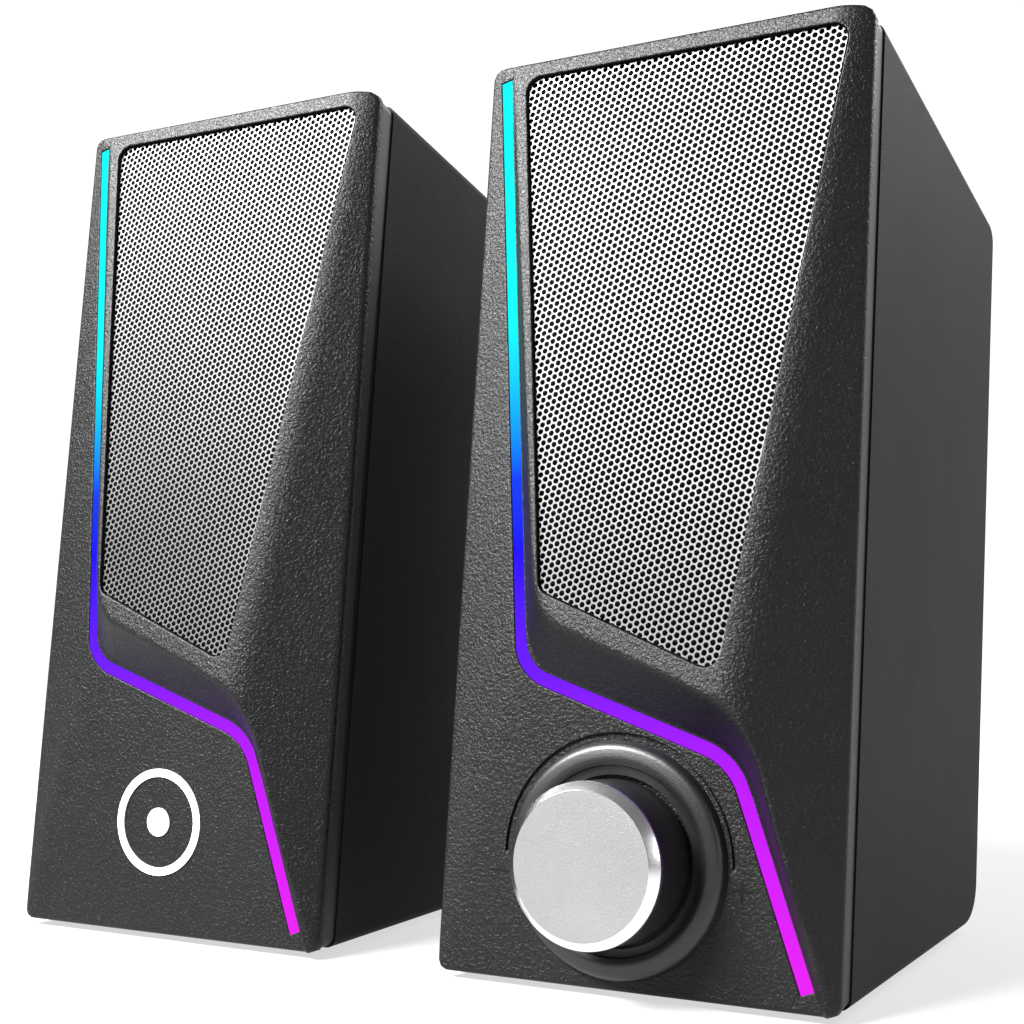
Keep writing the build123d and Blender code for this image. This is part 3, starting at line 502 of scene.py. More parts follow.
        # outside: over the round edge and back to the skirt
        raised_s = np.concatenate((top_run[::-1][:-1], right_s[::-1][:-1], foot_run[::-1][:-1]))
        plain_s = np.concatenate((foot_s[:-1], bottom_s[:-1], left_s[:-1], band_s[::-1][:-1], top_s[:-1]))
        s = np.concatenate((raised_s, plain_s))
        raised = np.arange(len(s)) < len(raised_s)
        rim_uv, out_uv = outline.at(s), outline.at(s, self.edge)
        rim_h = np.where(raised, self.height(rim_uv, True), self.height(rim_uv, False))
        out_h = np.where(raised, self.height(out_uv, True), self.height(out_uv, False))
        self.add_edge(rim_uv, out_uv, rim_h, out_h, self.edge, np.full(len(s), -SKIRT))
        return weld(self.patches)

    def add_edge(self, rim_uv, wall_uv, rim_h, corner_h, radius, end_h):
        """A round edge: a curve that leaves the rim in line with its face, turns at the corner above the
        wall, and meets the wall a radius lower; then the wall."""
        t = np.linspace(0, 1, 6)[:, None]
        uv = rim_uv[None] * ((1 - t) ** 2)[..., None] + wall_uv[None] * (1 - (1 - t) ** 2)[..., None]
        h = (1 - t) ** 2 * rim_h + 2 * t * (1 - t) * corner_h + t * t * (corner_h - radius)
        wall = np.linspace(0, 1, 3)[1:, None]
        wall_h = (corner_h - radius) * (1 - wall) + end_h * wall
        uv = np.concatenate((uv, np.repeat(wall_uv[None], 2, axis=0)))
        self.add(uv, np.concatenate((h, wall_h)), closed=True)


def grille_sheet(speaker, pitch, hole, thickness, tilt):
    """A flat sheet with round holes in a triangular pattern, in rows that lean by tilt from the long way.
    Each cell is six-sided with an eight-sided hole. What reaches past the sheet's outline is drawn in to it,
    so the holes there are cut through. The back is the front moved down by the thickness, and every edge
    that only one front face has gets a wall, so the holes and the outline are closed."""
    border = Line(GRILLE, (GRILLE_CORNER,) * 4, closed=True)
    border.points = border.points - border.normals * GRILLE_GAP
    low, high = border.points.min(0), border.points.max(0)
    column = pitch * math.sqrt(3) / 2
    reach = int(np.linalg.norm(high - low) / column / 2) + 2
    steps = np.arange(-reach, reach)
    i, j = (grid.ravel() for grid in np.meshgrid(steps, steps, indexing="ij"))
    turn_back = np.array(((math.cos(tilt), -math.sin(tilt)), (math.sin(tilt), math.cos(tilt))))
    centres = np.stack((i * column, (j + 0.5 * (i % 2)) * pitch), axis=1) @ turn_back
    centres = centres + (low + high) / 2
    _, beside = border.nearest(centres, every=20)
    centres = centres[-beside > -pitch * 0.58]
    around = np.radians(np.arange(6) * 60.0)
    cell = np.stack((np.cos(around), np.sin(around)), axis=1) @ turn_back * pitch / math.sqrt(3)
    turn = np.radians(np.arange(8) * 45.0 + 22.5)
    ring = np.stack((np.cos(turn), np.sin(turn)), axis=1) @ turn_back * hole
    # faces between the cell's six corners and the hole's eight
    outer, inner = np.arange(6), np.arange(8) + 6
    owner = np.round((np.arange(8) * 45.0 + 45.0) / 60.0).astype(int) % 6
    front = [(outer[owner[k]], inner[(k + 1) % 8], inner[k]) for k in range(8)]
    for k in range(8):
        if owner[k] != owner[(k + 1) % 8]:
            front.append((outer[owner[k]], outer[owner[(k + 1) % 8]], inner[(k + 1) % 8]))
    flat = (centres[:, None] + np.concatenate((cell, ring))[None]).reshape(-1, 2)
    start = (np.arange(len(centres)) * (len(cell) + len(ring)))[:, None, None]
    faces = (np.array(front)[None] + start).reshape(-1, 3)
    flat, faces = merge_spots(flat, faces, 1e-3)
    s, out = border.nearest(flat, every=4)
    flat[out > 0] = border.at(s[out > 0])
    flat, faces = merge_spots(flat, faces, 1e-3)
    first, second, third = (flat[faces[:, k]] for k in range(3))
    along, across = second - first, third - first
    faces = faces[along[:, 0] * across[:, 1] - along[:, 1] * across[:, 0] > 1e-3]
    # of the faces that run along the same edge in the same direction, only the first stays
    count = len(flat)
    edges = np.concatenate((faces[:, (0, 1)], faces[:, (1, 2)], faces[:, (2, 0)]))
    _, firsts = np.unique(edges[:, 0] * count + edges[:, 1], return_index=True)
    again = np.setdiff1d(np.arange(len(edges)), firsts) % len(faces)
    faces = np.delete(faces, again, axis=0)
    edges = np.concatenate((faces[:, (0, 1)], faces[:, (1, 2)], faces[:, (2, 0)]))
    there, back = edges[:, 0] * count + edges[:, 1], edges[:, 1] * count + edges[:, 0]
    rim = edges[~np.isin(there, back)]
    walls = np.stack((rim[:, 1], rim[:, 0], rim[:, 0] + count, rim[:, 1] + count), axis=1)
    level = visor_height(flat[:, 0], flat[:, 1]) - GRILLE_RECESS
    points = np.concatenate([
        place(speaker, flat[:, 0], flat[:, 1], level - down) for down in (0.0, thickness)])
    faces = np.concatenate((faces, faces[:, ::-1] + count))
    used = np.unique(np.concatenate((faces.ravel(), walls.ravel())))
    renamed = np.zeros(len(points), np.int64)
    renamed[used] = np.arange(len(used))
    return points[used], [renamed[faces], renamed[walls]]


def knob_place(radius, angle, height):
    """Points about the knob's axis, in metres: a radius and an angle from the right, and a height above the
    facet."""
    right = np.array((1.0, 0.0, 0.0))
    axis = np.array(KNOB_AXIS)
    up = np.cross(axis, right)
    spoke = np.cos(angle)[..., None] * right + np.sin(angle)[..., None] * up
    return np.array(KNOB_CENTRE) + MM * (radius[..., None] * spoke + height[..., None] * axis)


def turned(corners, rounding, segments=160):
    """A profile of radius and height, with rounded corners, turned about the knob's axis."""
    profile = Line(corners, rounding, step=0.05)
    span = np.unique(np.concatenate((np.arange(0, len(profile.s), 6), [len(profile.s) - 1])))
    points = profile.points[span]
    keep = [0]
    for k in range(1, len(points) - 1):
        into = points[k] - points[keep[-1]]
        out = points[k + 1] - points[k]
        bend = abs(into[0] * out[1] - into[1] * out[0]) / (np.linalg.norm(into) * np.linalg.norm(out) + 1e-12)
        if bend > 0.01 or np.linalg.norm(into) > 2.0:
            keep.append(k)
    keep.append(len(points) - 1)
    points = points[keep]
    angle = np.arange(segments) * 2 * np.pi / segments
    radius = np.repeat(points[:, 0][:, None], segments, axis=1)
    height = np.repeat(points[:, 1][:, None], segments, axis=1)
    return weld([(knob_place(radius, np.repeat(angle[None], len(points), axis=0), height), True)])


# ================================================================ finishes
class Wire:
    """A shader socket in a Python expression; each operator adds one Math node."""

    def __init__(self, finish, socket):
        self.finish = finish
        self.socket = socket

    def _math(self, operation, *values):
        return self.finish.node("ShaderNodeMath", {"operation": operation}, dict(enumerate(values)))

    def __add__(self, other):
        return self._math("ADD", self, other)

    def __sub__(self, other):
        return self._math("SUBTRACT", self, other)

    def __rsub__(self, other):
        return self._math("SUBTRACT", other, self)

    def __mul__(self, other):
        return self._math("MULTIPLY", self, other)

    __radd__ = __add__
    __rmul__ = __mul__


class Finish:
    """One material, made from expressions and nodes, with a Principled shader at its end."""

    def __init__(self, name, constants):
        self.material = bpy.data.materials.new(name)
        self.material.use_nodes = True
        self.tree = self.material.node_tree
        self.tree.nodes.clear()
        self.shader = self.tree.nodes.new("ShaderNodeBsdfPrincipled")
        for socket, value in constants.items():
            self.shader.inputs[socket].default_value = value
        end = self.tree.nodes.new("ShaderNodeOutputMaterial")
        self.tree.links.new(self.shader.outputs[0], end.inputs["Surface"])

    def node(self, kind, settings=None, sockets=None, output=0):
        """Adds a node: its settings are set first, then its sockets get values or links. A ramp's stops are
        pairs of a place and a colour."""
        node = self.tree.nodes.new(kind)
        for key, value in (settings or {}).items():
            if key == "stops":
                self.set_stops(node.color_ramp.elements, value)
            else:
                setattr(node, key, value)
        for key, value in (sockets or {}).items():
            self.plug(node.inputs[key], value)
        return Wire(self, node.outputs[output])

    def plug(self, socket, value):
        if isinstance(value, Wire):
            self.tree.links.new(value.socket, socket)
        else:
            socket.default_value = value

    @staticmethod
    def set_stops(elements, stops):
        while len(elements) < len(stops):
            elements.new(1.0)
        for element, (position, colour) in zip(elements, stops):
            element.position = position
            element.color = (*colour, 1.0)

    def where(self):
        return self.node("ShaderNodeTexCoord", output="Object")

    def noise(self, scale, detail=2.0, roughness=0.5, distortion=0.0):
        return self.node("ShaderNodeTexNoise", None, {
            "Vector": self.where(), "Scale": scale, "Detail": detail, "Roughness": roughness,
            "Distortion": distortion})

    def cells(self, scale, feature="F1"):
        return self.node("ShaderNodeTexVoronoi", {"feature": feature}, {
            "Vector": self.where(), "Scale": scale})

    def spread(self, value, low, high):
        """Takes a value from 0 to 1 to the range from low to high."""
        return self.node("ShaderNodeMapRange", None, {"Value": value, "To Min": low, "To Max": high})

    def mix(self, share, first, second):
        node = self.tree.nodes.new("ShaderNodeMix")
        node.data_type = "RGBA"
        self.plug(node.inputs[0], share)
        self.plug(node.inputs[6], first if isinstance(first, Wire) else (*first, 1.0))
        self.plug(node.inputs[7], second if isinstance(second, Wire) else (*second, 1.0))
        return Wire(self, node.outputs[2])

    def surface(self, colour=None, roughness=None, relief=None, depth=0.0, strength=1.0, **others):
        """Links what varies over the surface: colour, roughness, and a relief of a depth in metres."""
        if colour is not None:
            self.plug(self.shader.inputs["Base Color"], colour)
        if roughness is not None:
            self.plug(self.shader.inputs["Roughness"], roughness)
        if relief is not None:
            bump = self.node("ShaderNodeBump", None, {
                "Height": relief, "Distance": depth, "Strength": strength})
            self.plug(self.shader.inputs["Normal"], bump)
        for socket, value in others.items():
            self.plug(self.shader.inputs[socket.replace("_", " ").title()], value)
        return self.material


def grained_plastic(name, colour, grain, depth, gloss, level):
    """Moulded plastic with a leather grain: shallow cells drawn out by noise, duller in patches."""
    finish = Finish(name, {"Specular IOR Level": level})
    pebbles = finish.cells(grain, "SMOOTH_F1")
    wrinkles = finish.noise(grain * 1.25, detail=3.0, roughness=0.6, distortion=0.9)
    dust = finish.noise(28.0, detail=4.0)
    relief = pebbles * 0.45 + wrinkles
    tint = finish.mix(finish.spread(dust, 0.0, 1.0), [c * 0.75 for c in colour], [c * 1.25 for c in colour])
    dullness = finish.spread(dust + wrinkles * 0.5, gloss - 0.06, gloss + 0.06)
    return finish.surface(tint, dullness, relief, depth)


def smooth_plastic(name, colour, gloss, depth=1.5e-5, level=0.4):
    """Plain moulded plastic with a fine spark texture and faint handling marks."""
    finish = Finish(name, {"Specular IOR Level": level})
    spark = finish.noise(3600.0, detail=2.0)
    marks = finish.noise(60.0, detail=5.0, distortion=1.5)
    tint = finish.mix(marks, [c * 0.8 for c in colour], [c * 1.2 for c in colour])
    return finish.surface(tint, finish.spread(marks, gloss - 0.08, gloss + 0.08), spark, depth)


def bare_metal(name, colour, gloss, grain=2500.0, depth=6e-6, metallic=1.0):
    """Metal with a fine blasted grain, and patches a little duller than the rest."""
    finish = Finish(name, {"Metallic": metallic})
    grit = finish.noise(grain, detail=3.0, roughness=0.7)
    patches = finish.noise(45.0, detail=3.0)
    tint = finish.mix(grit, [c * 0.86 for c in colour], [min(1.0, c * 1.1) for c in colour])
    return finish.surface(tint, finish.spread(patches + grit * 0.4, gloss - 0.07, gloss + 0.07), grit, depth)


def woven_cloth(name, colour, thread):
    """Thin cloth: two sets of threads at right angles, as ridges across and along."""
    finish = Finish(name, {"Roughness": 0.95, "Specular IOR Level": 0.1})
    ridges = {"bands_direction": "X"}, {"bands_direction": "Z"}
    warp, weft = (finish.node("ShaderNodeTexWave", settings, {"Vector": finish.where(), "Scale": thread})
                  for settings in ridges)
    lint = finish.noise(500.0, detail=3.0)
    tint = finish.mix(lint, [c * 0.6 for c in colour], [c * 1.5 for c in colour])
    return finish.surface(tint, None, warp + weft, 4e-5)


def rubber(name, colour, gloss):
    """Matte rubber with a fine mould texture and a dusty bloom."""
    finish = Finish(name, {"Specular IOR Level": 0.3})
    bloom = finish.noise(90.0, detail=5.0)
    pores = finish.noise(2200.0, detail=2.0)
    tint = finish.mix(bloom, colour, [c * 2.0 for c in colour])
    return finish.surface(tint, finish.spread(bloom, gloss - 0.1, gloss + 0.1), pores, 2e-5)


def pulp(name, colour):
    """Pressed fibre: long soft strands in every direction."""
    finish = Finish(name, {"Specular IOR Level": 0.25})
    strands = finish.noise(700.0, detail=6.0, roughness=0.7, distortion=2.5)
    tint = finish.mix(strands, [c * 0.6 for c in colour], [c * 1.5 for c in colour])
    return finish.surface(tint, finish.spread(strands, 0.75, 0.95), strands, 5e-5)


def lacquered_board(name, colour):
    """Circuit board: lacquer over copper runs that show as faint paler lines."""
    finish = Finish(name, {"Coat Weight": 0.5, "Coat Roughness": 0.15})
    runs = finish.node("ShaderNodeTexBrick", None, {
        "Vector": finish.where(), "Scale": 160.0, "Mortar Size": 0.03,
        "Color1": (*colour, 1.0), "Color2": (*[c * 0.8 for c in colour], 1.0),
        "Mortar": (*[c * 1.8 for c in colour], 1.0)})
    haze = finish.noise(300.0, detail=3.0)
    return finish.surface(runs, finish.spread(haze, 0.3, 0.45), haze, 5e-6)


def wound_wire(name, colour):
    """Fine enamelled wire wound side by side about the driver's axis, as ridges along the way forwards."""
    finish = Finish(name, {"Metallic": 1.0})
    turns = finish.node("ShaderNodeTexWave", {"bands_direction": "Y"}, {
        "Vector": finish.where(), "Scale": 700.0})
    tint = finish.mix(turns, [c * 0.5 for c in colour], colour)
    return finish.surface(tint, finish.spread(turns, 0.25, 0.45), turns, 3e-5)


def lit_diffuser(name, sizes):
    """Frosted diffuser lit from behind: its colour runs through the chosen colours from top to foot, a
    little dimmer in patches of the frost."""
    finish = Finish(name, {
        "Roughness": 0.6, "Specular IOR Level": 0.0, "Base Color": (0.002, 0.002, 0.002, 1.0),
        "Emission Strength": sizes.light_strength})
    low, high = (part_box("main_light_strip")[k].z for k in (0, 1))
    height = finish.node("ShaderNodeSeparateXYZ", None, {"Vector": finish.where()}, output="Z")
    share = (height - low) * (1.0 / (high - low))
    cyan, azure, blue, violet, purple, magenta = (tuple(getattr(sizes, f"light_{k}")) for k in range(1, 7))
    stops = ((0.0, magenta), (0.2, purple), (0.31, violet), (0.45, blue), (0.53, azure), (0.71, cyan))
    glow = finish.node("ShaderNodeValToRGB", {"stops": stops}, {"Fac": share})
    frost = finish.noise(900.0, detail=2.0)
    dimmed = finish.mix(finish.spread(frost, 0.0, 0.08), (1.0, 1.0, 1.0), (0.8, 0.8, 0.8))
    colour = finish.node("ShaderNodeVectorMath", {"operation": "MULTIPLY"}, {0: glow, 1: dimmed})
    finish.surface(None, None, frost, 1e-5)
    finish.plug(finish.shader.inputs["Emission Color"], colour)
    return finish.material


# ================================================================ properties
class SpeakerSizes(bpy.types.PropertyGroup):
    """Sizes and colours of the looks that a user would change."""

    edge_radius: bpy.props.FloatProperty(
        name="Edge radius", description="Rounding of the front's outer edges", default=0.0009,
        unit="LENGTH", precision=5)
    crease_softness: bpy.props.FloatProperty(
        name="Crease softness", description="How far facets blend into each other", default=1.0)
    groove_depth: bpy.props.FloatProperty(
        name="Groove depth", description="Depth of the arc around the knob", default=0.0006,
        unit="LENGTH", precision=5)
    front_step: bpy.props.FloatProperty(
        name="Front step", description="Spacing of the front's grid along its lines", default=0.00085,
        unit="LENGTH", precision=5)
    hole_pitch: bpy.props.FloatProperty(
        name="Hole pitch", description="Distance between the grille's holes", default=0.00146,
        unit="LENGTH", precision=5)
    hole_radius: bpy.props.FloatProperty(
        name="Hole radius", description="Radius of the grille's holes", default=0.00061,
        unit="LENGTH", precision=5)
    hole_tilt: bpy.props.FloatProperty(
        name="Hole tilt", description="Lean of the rows of holes to the right", default=math.radians(9.9),
        subtype="ANGLE")
    sheet: bpy.props.FloatProperty(
        name="Grille sheet", description="Thickness of the grille's sheet", default=0.0004,
        unit="LENGTH", precision=5)
    plastic: bpy.props.FloatVectorProperty(
        name="Plastic", description="Colour of the moulded fronts", default=(0.004, 0.004, 0.0042),
        subtype="COLOR")
    shell: bpy.props.FloatVectorProperty(
        name="Cabinets", description="Colour of the cabinets", default=(0.004, 0.004, 0.0042),
        subtype="COLOR")
    metal: bpy.props.FloatVectorProperty(
        name="Grille metal", description="Colour of the grilles", default=(0.08, 0.08, 0.08), subtype="COLOR")
    cap: bpy.props.FloatVectorProperty(
        name="Knob cap", description="Colour of the knob's face", default=(0.37, 0.37, 0.375),
        subtype="COLOR")
    light_strength: bpy.props.FloatProperty(
        name="Light strength", description="Brightness of the strips", default=1.05)
    light_1: bpy.props.FloatVectorProperty(
        name="Light top", description="Colour at the top", default=(0.0, 1.0, 1.0), subtype="COLOR")
    light_2: bpy.props.FloatVectorProperty(
        name="Light 2", description="Second colour down", default=(0.0, 0.05, 1.0), subtype="COLOR")
    light_3: bpy.props.FloatVectorProperty(
        name="Light 3", description="Third colour down", default=(0.007, 0.0, 1.0), subtype="COLOR")
    light_4: bpy.props.FloatVectorProperty(
        name="Light 4", description="Fourth colour down", default=(0.16, 0.007, 1.0), subtype="COLOR")
    light_5: bpy.props.FloatVectorProperty(
        name="Light 5", description="Fifth colour down", default=(0.51, 0.007, 1.0), subtype="COLOR")
    light_6: bpy.props.FloatVectorProperty(
        name="Light foot", description="Colour at the foot", default=(0.83, 0.013, 0.91), subtype="COLOR")


def sizes_of(context):
    return context.scene.speaker_sizes


def dress(names, material):
    """Gives one material to the frame's nodes with these names."""
    for name in names:
        mesh = frame["nodes"][name].data
        mesh.materials.clear()
        mesh.materials.append(material)


def both(*names):
    return [f"{speaker}_{name}" for speaker in SPEAKERS for name in names]


# ================================================================ operators
class SPEAKER_OT_fronts(bpy.types.Operator):
    """Moulded fronts with their facets, slot, opening and round edges"""

    bl_idname = "speaker.fronts"
    bl_label = "Moulded fronts"

    def execute(self, context):
        sizes = sizes_of(context)
        finish = grained_plastic("Leather grain plastic", tuple(sizes.plastic), 1400.0, 2.0e-4, 0.34, 0.2)
        for speaker in SPEAKERS:
            points, faces = FrontSurface(speaker, speaker == "main", sizes).build()
            add_piece(f"{speaker}_moulded_front", points, faces, f"{speaker}_speaker", finish,
                      [f"{speaker}_front_bezel"], sharp=50.0)
        return {"FINISHED"}


class SPEAKER_OT_grilles(bpy.types.Operator):
    """Perforated metal grilles and the cloth behind them"""

    bl_idname = "speaker.grilles"
    bl_label = "Grilles"

    def execute(self, context):
        sizes = sizes_of(context)
        finish = bare_metal("Grille metal", tuple(sizes.metal), 0.42, metallic=0.75)
        # painted shade: the holes' walls and the sheet's back get a near-black finish so that the holes read
        # dark
        inner = smooth_plastic("Dark grille lacquer", (0.004, 0.004, 0.004), 0.6, level=0.2)
        for speaker in SPEAKERS:
            points, faces = grille_sheet(
                speaker, sizes.hole_pitch / MM, sizes.hole_radius / MM, sizes.sheet / MM, sizes.hole_tilt)
            sheet = add_piece(f"{speaker}_perforated_grille", points, faces, f"{speaker}_speaker",
                              (finish, inner), [f"{speaker}_grille"], sharp=30.0, recalculate=False)
            self.shade_hole_walls(sheet.data)
        dress(both("grille_cloth"), woven_cloth("Acoustic cloth", (0.002, 0.002, 0.002), 900.0))
        return {"FINISHED"}

    def shade_hole_walls(self, mesh):
        """A near-black finish goes on the holes' walls and the back, all that doesn't face forwards: painted
        shade that makes the holes read dark.
        """
        normals = np.empty(len(mesh.polygons) * 3)
        mesh.polygons.foreach_get("normal", normals)
        ahead = normals.reshape(-1, 3) @ np.array(FORWARD)
        mesh.polygons.foreach_set("material_index", (ahead < 0.7).astype(np.int32))


class SPEAKER_OT_lights(bpy.types.Operator):
    """Light strips, lamps and their boards"""

    bl_idname = "speaker.lights"
    bl_label = "Light strips"

    def execute(self, context):
        sizes = sizes_of(context)
        dress(both("light_strip"), lit_diffuser("Lit diffuser", sizes))
        dress(both("lamps"), smooth_plastic("Lamp housing", (0.8, 0.78, 0.7), 0.3))
        dress(both("lamp_board"), lacquered_board("Lamp board", (0.02, 0.1, 0.04)))
        return {"FINISHED"}


class SPEAKER_OT_knob(bpy.types.Operator):
    """Volume knob, its collar and the two marks beside it"""

    bl_idname = "speaker.knob"
    bl_label = "Volume knob"

    def execute(self, context):
        sizes = sizes_of(context)
        plastic = tuple(sizes.plastic)
        body = ((0.0, KNOB_BASE), (KNOB_RADIUS, KNOB_BASE), (KNOB_RADIUS, CAP_BASE), (0.0, CAP_BASE))
        points, faces = turned(body, (0.5, 0.15))
        add_piece("main_turned_knob_body", points, faces, "volume_knob",
                  smooth_plastic("Knob body", (0.006, 0.006, 0.007), 0.38), ["main_volume_knob_body"])
        skirt = (
            (0.0, CAP_BASE), (KNOB_RADIUS - 0.3, CAP_BASE), (KNOB_RADIUS, CAP_BASE + 0.3),
            (KNOB_RADIUS, CAP_EDGE), (CAP_FACE_RADIUS, CAP_TOP - 0.02), (0.0, CAP_TOP))
        points, faces = turned(skirt, (0.1, 0.1, 0.18, 0.12), segments=200)
        face_finish = bare_metal("Blasted knob face", tuple(sizes.cap), 0.36, grain=3600.0, depth=5e-5)
        edge_finish = bare_metal("Bright knob edge", (0.7, 0.7, 0.71), 0.2, grain=2600.0, depth=2e-6)
        cap = add_piece("main_turned_knob_cap", points, faces, "volume_knob",
                        (face_finish, edge_finish), ["main_volume_knob_cap"], sharp=25.0)
        self.split_finishes(cap.data, CAP_FACE_RADIUS)
        points, faces = turned(COLLAR, COLLAR_BENDS)
        add_piece("main_knob_collar", points, faces, "main_speaker",
                  grained_plastic("Collar plastic", plastic, 2600.0, 3e-5, 0.34, 0.5))
        # painted shade: the marks are raised near-black pieces whose dark colour stands in for the shade in
        # engraved grooves
        for name, across, arms in (("minus", -1, 1), ("plus", 1, 2)):
            points, faces = self.mark(across * MARK_OFFSET, arms)
            add_piece(f"main_{name}_mark", points, faces, "main_speaker",
                      smooth_plastic(f"Engraved {name}", (0.001, 0.001, 0.001), 0.6, level=0.15))
        return {"FINISHED"}

    def split_finishes(self, mesh, radius):
        """The bright finish goes on what lies past the face's radius."""
        centres = np.empty(len(mesh.polygons) * 3)
        mesh.polygons.foreach_get("center", centres)
        away = centres.reshape(-1, 3) - np.array(KNOB_CENTRE)
        axis = np.array(KNOB_AXIS)
        out = np.linalg.norm(away - (away @ axis)[:, None] * axis, axis=1)
        mesh.polygons.foreach_set("material_index", (out > radius * MM).astype(np.int32))

    def mark(self, across, arms):
        """A low bar with rounded ends, and a second across it for the plus: each is an ellipse-like loop in
        three rings, its power higher than two so that the ends are blunt."""
        patches = []
        for turn in range(arms):
            angle = np.linspace(0, 2 * np.pi, 48, endpoint=False)
            long, short = MARK_LENGTH / 2, MARK_WIDTH / 2
            x = long * np.sign(np.cos(angle)) * np.abs(np.cos(angle)) ** 0.35
            y = short * np.sign(np.sin(angle)) * np.abs(np.sin(angle)) ** 0.35
            if turn:
                x, y = -y, x
            rings = ((1.0, -0.2), (1.0, 0.02), (0.93, 0.045), (0.0, 0.045 + 0.002 * turn))
            u = np.stack([across + x * share for share, _ in rings])
            v = np.stack([y * share - MARK_DROP for share, _ in rings])
            height = np.stack([np.full(48, level) for _, level in rings])
            patches.append((knob_place(np.hypot(u, v), np.arctan2(v, u), height), True))
        return weld(patches)


class SPEAKER_OT_housing(bpy.types.Operator):
    """Cabinets, baffles, feet, screws, emblem and the back's fittings"""

    bl_idname = "speaker.housing"
    bl_label = "Housing"

    def execute(self, context):
        sizes = sizes_of(context)
        dress(both("cabinet"),
              grained_plastic("Cabinet plastic", tuple(sizes.shell), 2200.0, 6e-5, 0.6, 0.12))
        dress(both("baffle", "grille_retainer"), smooth_plastic("Baffle plastic", (0.008, 0.008, 0.008), 0.5))
        dress(both("feet"), rubber("Foot rubber", (0.012, 0.012, 0.012), 0.8))
        dress(both("bezel_screws", "cabinet_screws", "driver_screws"),
              bare_metal("Black screw", (0.06, 0.06, 0.065), 0.35, metallic=0.8))
        dress(["main_cable_glands", "satellite_cable_gland"],
              rubber("Gland rubber", (0.008, 0.008, 0.008), 0.6))
        dress(["main_link_jack"], smooth_plastic("Jack body", (0.01, 0.01, 0.01), 0.3))
        dress(["satellite_emblem"], smooth_plastic("White print", (0.9, 0.9, 0.9), 0.45))
        return {"FINISHED"}


class SPEAKER_OT_inside(bpy.types.Operator):
    """Drivers, volume control and amplifier"""

    bl_idname = "speaker.inside"
    bl_label = "Inside"

    def execute(self, context):
        dress(both("driver_basket"), smooth_plastic("Powder coat", (0.02, 0.02, 0.02), 0.55))
        plated = bare_metal("Zinc plate", (0.62, 0.62, 0.58), 0.35)
        dress(both("driver_top_plate", "driver_yoke"), plated)
        dress(["main_volume_shaft", "main_volume_control", "main_volume_control_nut",
               "main_amplifier_standoffs"], plated)
        dress(both("driver_magnet"), pulp("Ground ferrite", (0.05, 0.05, 0.055)))
        dress(both("driver_cone", "driver_dust_cap"), pulp("Paper cone", (0.02, 0.02, 0.02)))
        dress(both("driver_voice_coil"), wound_wire("Voice coil", (0.72, 0.34, 0.18)))
        dress(both("driver_surround"), rubber("Surround rubber", (0.01, 0.01, 0.01), 0.5))
        dress(both("driver_spider"), woven_cloth("Spider cloth", (0.5, 0.3, 0.1), 700.0))
        dress(["main_amplifier_board", "main_volume_control_board"],
              lacquered_board("Amplifier board", (0.015, 0.12, 0.04)))
        dress(["main_amplifier_capacitors"], smooth_plastic("Capacitor sleeve", (0.01, 0.015, 0.04), 0.3))
        dress(["main_amplifier_heat_sink"], bare_metal("Extruded aluminium", (0.6, 0.6, 0.6), 0.4))
        dress(["main_amplifier_chip"], smooth_plastic("Chip epoxy", (0.012, 0.012, 0.012), 0.5))
        return {"FINISHED"}


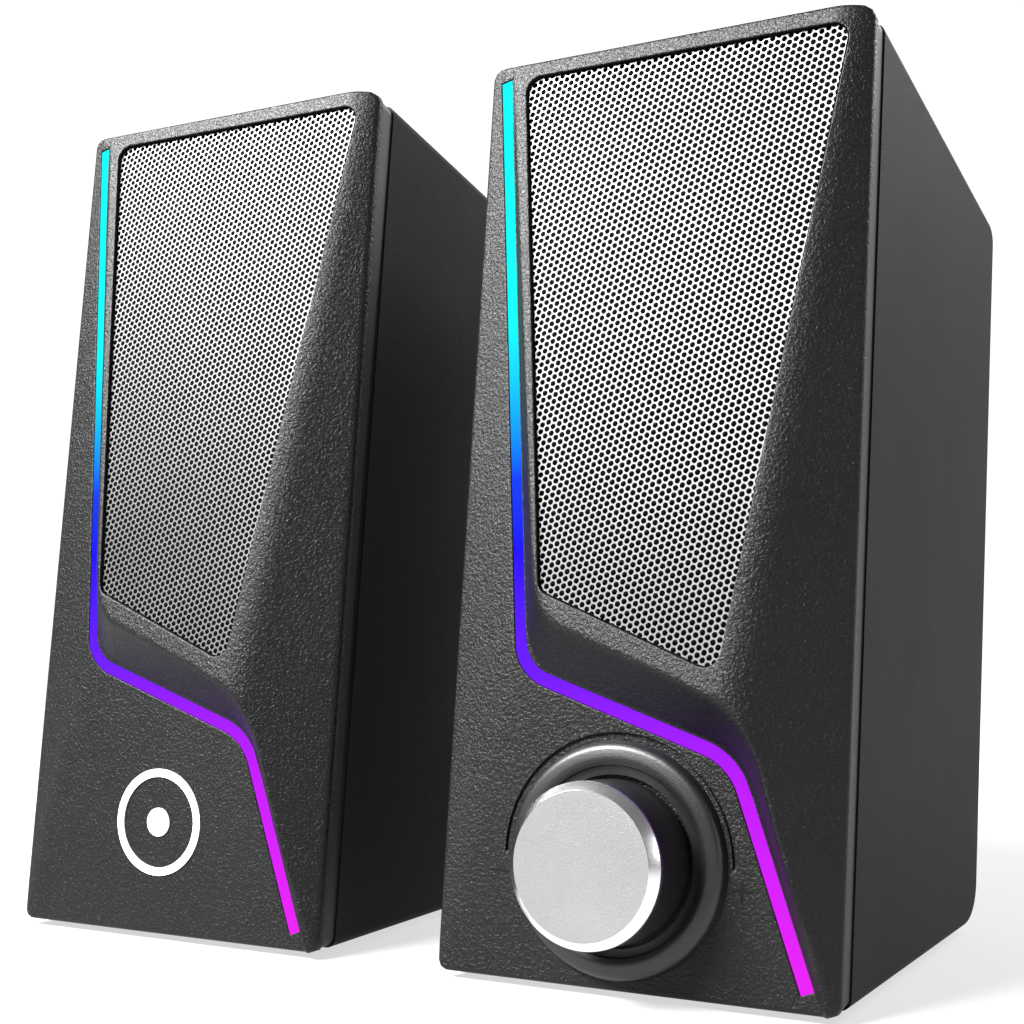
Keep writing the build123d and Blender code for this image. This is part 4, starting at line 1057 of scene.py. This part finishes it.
class SPEAKER_OT_stage(bpy.types.Operator):
    """Pale floor and backdrop, soft lights and the camera"""

    bl_idname = "speaker.stage"
    bl_label = "Stage"

    def execute(self, context):
        scene = context.scene
        self.add_sweep()
        self.add_world(scene)
        target = Vector((0.0, -0.03, 0.1))
        self.add_softbox("Key", target, -42.0, 42.0, 1.0, (0.75, 0.34), 14.0, 75.0)
        self.add_softbox("Side", target, 155.0, 30.0, 1.3, (0.6, 0.3), 3.2, 120.0)
        self.add_softbox("Rim", target, 74.0, 14.0, 1.0, (0.14, 0.4), 0.22, 60.0)
        scene.camera = self.add_camera()
        scene.view_settings.view_transform = "Standard"
        return {"FINISHED"}

    def add_sweep(self):
        """Floor and backdrop in one: a profile, flat and then curved up, carried along a straight line."""
        depth, rise, bend, half = 2.2, 2.0, 0.8, 3.5
        turn = np.linspace(0, np.pi / 2, 24)
        y = np.concatenate(([-3.0, 0.0], depth - bend + bend * np.sin(turn), [depth]))
        z = np.concatenate(([0.0, 0.0], bend - bend * np.cos(turn), [rise]))
        x = np.linspace(-half, half, 9)
        grid = np.stack(np.broadcast_arrays(x[None], y[:, None], z[:, None]), axis=-1)
        points, faces = weld([(grid, False)])
        mesh = make_mesh("sweep", points, faces)
        mesh.polygons.foreach_set("use_smooth", np.ones(len(mesh.polygons), bool))
        sweep = bpy.data.objects.new("sweep", mesh)
        bpy.context.scene.collection.objects.link(sweep)
        finish = Finish("Pale paper", {
            "Roughness": 0.9, "Specular IOR Level": 0.1, "Emission Strength": 1.0})
        fibre = finish.noise(400.0, detail=4.0)
        # painted light: the floor and backdrop glow, dimmer near the front and brighter towards the back
        away = finish.node("ShaderNodeSeparateXYZ", None, {"Vector": finish.where()}, output="Y")
        levels = ((0.0, 0.55), (0.15, 0.6), (0.3, 0.8), (0.55, 1.0))
        stops = [(spot, (level, level, level)) for spot, level in levels]
        glow = finish.node("ShaderNodeValToRGB", {"stops": stops}, {"Fac": (away + 0.6) * 0.333})
        finish.plug(finish.shader.inputs["Emission Color"], glow)
        paper = finish.surface(finish.mix(fibre, (0.24, 0.24, 0.24), (0.26, 0.26, 0.26)), None, fibre, 1e-5)
        mesh.materials.append(paper)

    def add_world(self, scene):
        world = bpy.data.worlds.new("Studio")
        world.use_nodes = True
        background = world.node_tree.nodes["Background"]
        background.inputs["Color"].default_value = (1.0, 1.0, 1.0, 1.0)
        background.inputs["Strength"].default_value = 0.2
        scene.world = world

    def add_softbox(self, name, target, azimuth, elevation, distance, size, power, spread):
        """An area light towards the target, gridded to a spread; azimuth 0 is in front, 90 to the right."""
        a, e = math.radians(azimuth), math.radians(elevation)
        away = Vector((math.sin(a) * math.cos(e), -math.cos(a) * math.cos(e), math.sin(e)))
        light = bpy.data.lights.new(name, "AREA")
        light.shape = "RECTANGLE"
        light.size, light.size_y = size
        light.energy = power
        light.spread = math.radians(spread)
        lamp = bpy.data.objects.new(name, light)
        lamp.location = target + away * distance
        lamp.rotation_mode = "QUATERNION"
        lamp.rotation_quaternion = (-away).to_track_quat("-Z", "Y")
        bpy.context.scene.collection.objects.link(lamp)

    def add_camera(self):
        """A level camera to the right of the pair, at a little under half their height."""
        yaw, roll = CAMERA_YAW, CAMERA_ROLL
        ahead = Vector((-math.sin(yaw), math.cos(yaw), 0.0))
        flat_right, flat_up = Vector((math.cos(yaw), math.sin(yaw), 0.0)), Vector((0.0, 0.0, 1.0))
        right = math.cos(roll) * flat_right + math.sin(roll) * flat_up
        up = math.cos(roll) * flat_up - math.sin(roll) * flat_right
        lens = bpy.data.cameras.new("Camera")
        lens.sensor_width = 36.0
        lens.lens = CAMERA_LENS
        lens.shift_y = CAMERA_SHIFT
        lens.clip_start = 0.01
        camera = bpy.data.objects.new("Camera", lens)
        turn = Matrix((right, up, -ahead)).transposed().to_4x4()
        camera.matrix_world = Matrix.Translation(CAMERA_PLACE) @ turn
        bpy.context.scene.collection.objects.link(camera)
        return camera


OPERATORS = (
    SPEAKER_OT_fronts, SPEAKER_OT_grilles, SPEAKER_OT_lights, SPEAKER_OT_knob, SPEAKER_OT_housing,
    SPEAKER_OT_inside, SPEAKER_OT_stage,
)


class SPEAKER_PT_panel(bpy.types.Panel):
    """Lists the pieces' operators and sizes"""

    bl_idname = "SPEAKER_PT_panel"
    bl_label = "Speakers"
    bl_space_type = "VIEW_3D"
    bl_region_type = "UI"
    bl_category = "Speakers"

    def draw(self, context):
        for name in SpeakerSizes.__annotations__:
            self.layout.prop(sizes_of(context), name)
        for operator in OPERATORS:
            self.layout.operator(operator.bl_idname)


CLASSES = (SpeakerSizes, *OPERATORS, SPEAKER_PT_panel)


def register():
    for each in CLASSES:
        bpy.utils.register_class(each)
    bpy.types.Scene.speaker_sizes = bpy.props.PointerProperty(type=SpeakerSizes)


def unregister():
    del bpy.types.Scene.speaker_sizes
    for each in reversed(CLASSES):
        bpy.utils.unregister_class(each)


def main():
    register()
    for operator in OPERATORS:
        group, name = operator.bl_idname.split(".")
        getattr(getattr(bpy.ops, group), name)()


if __name__ == "__main__":
    main()
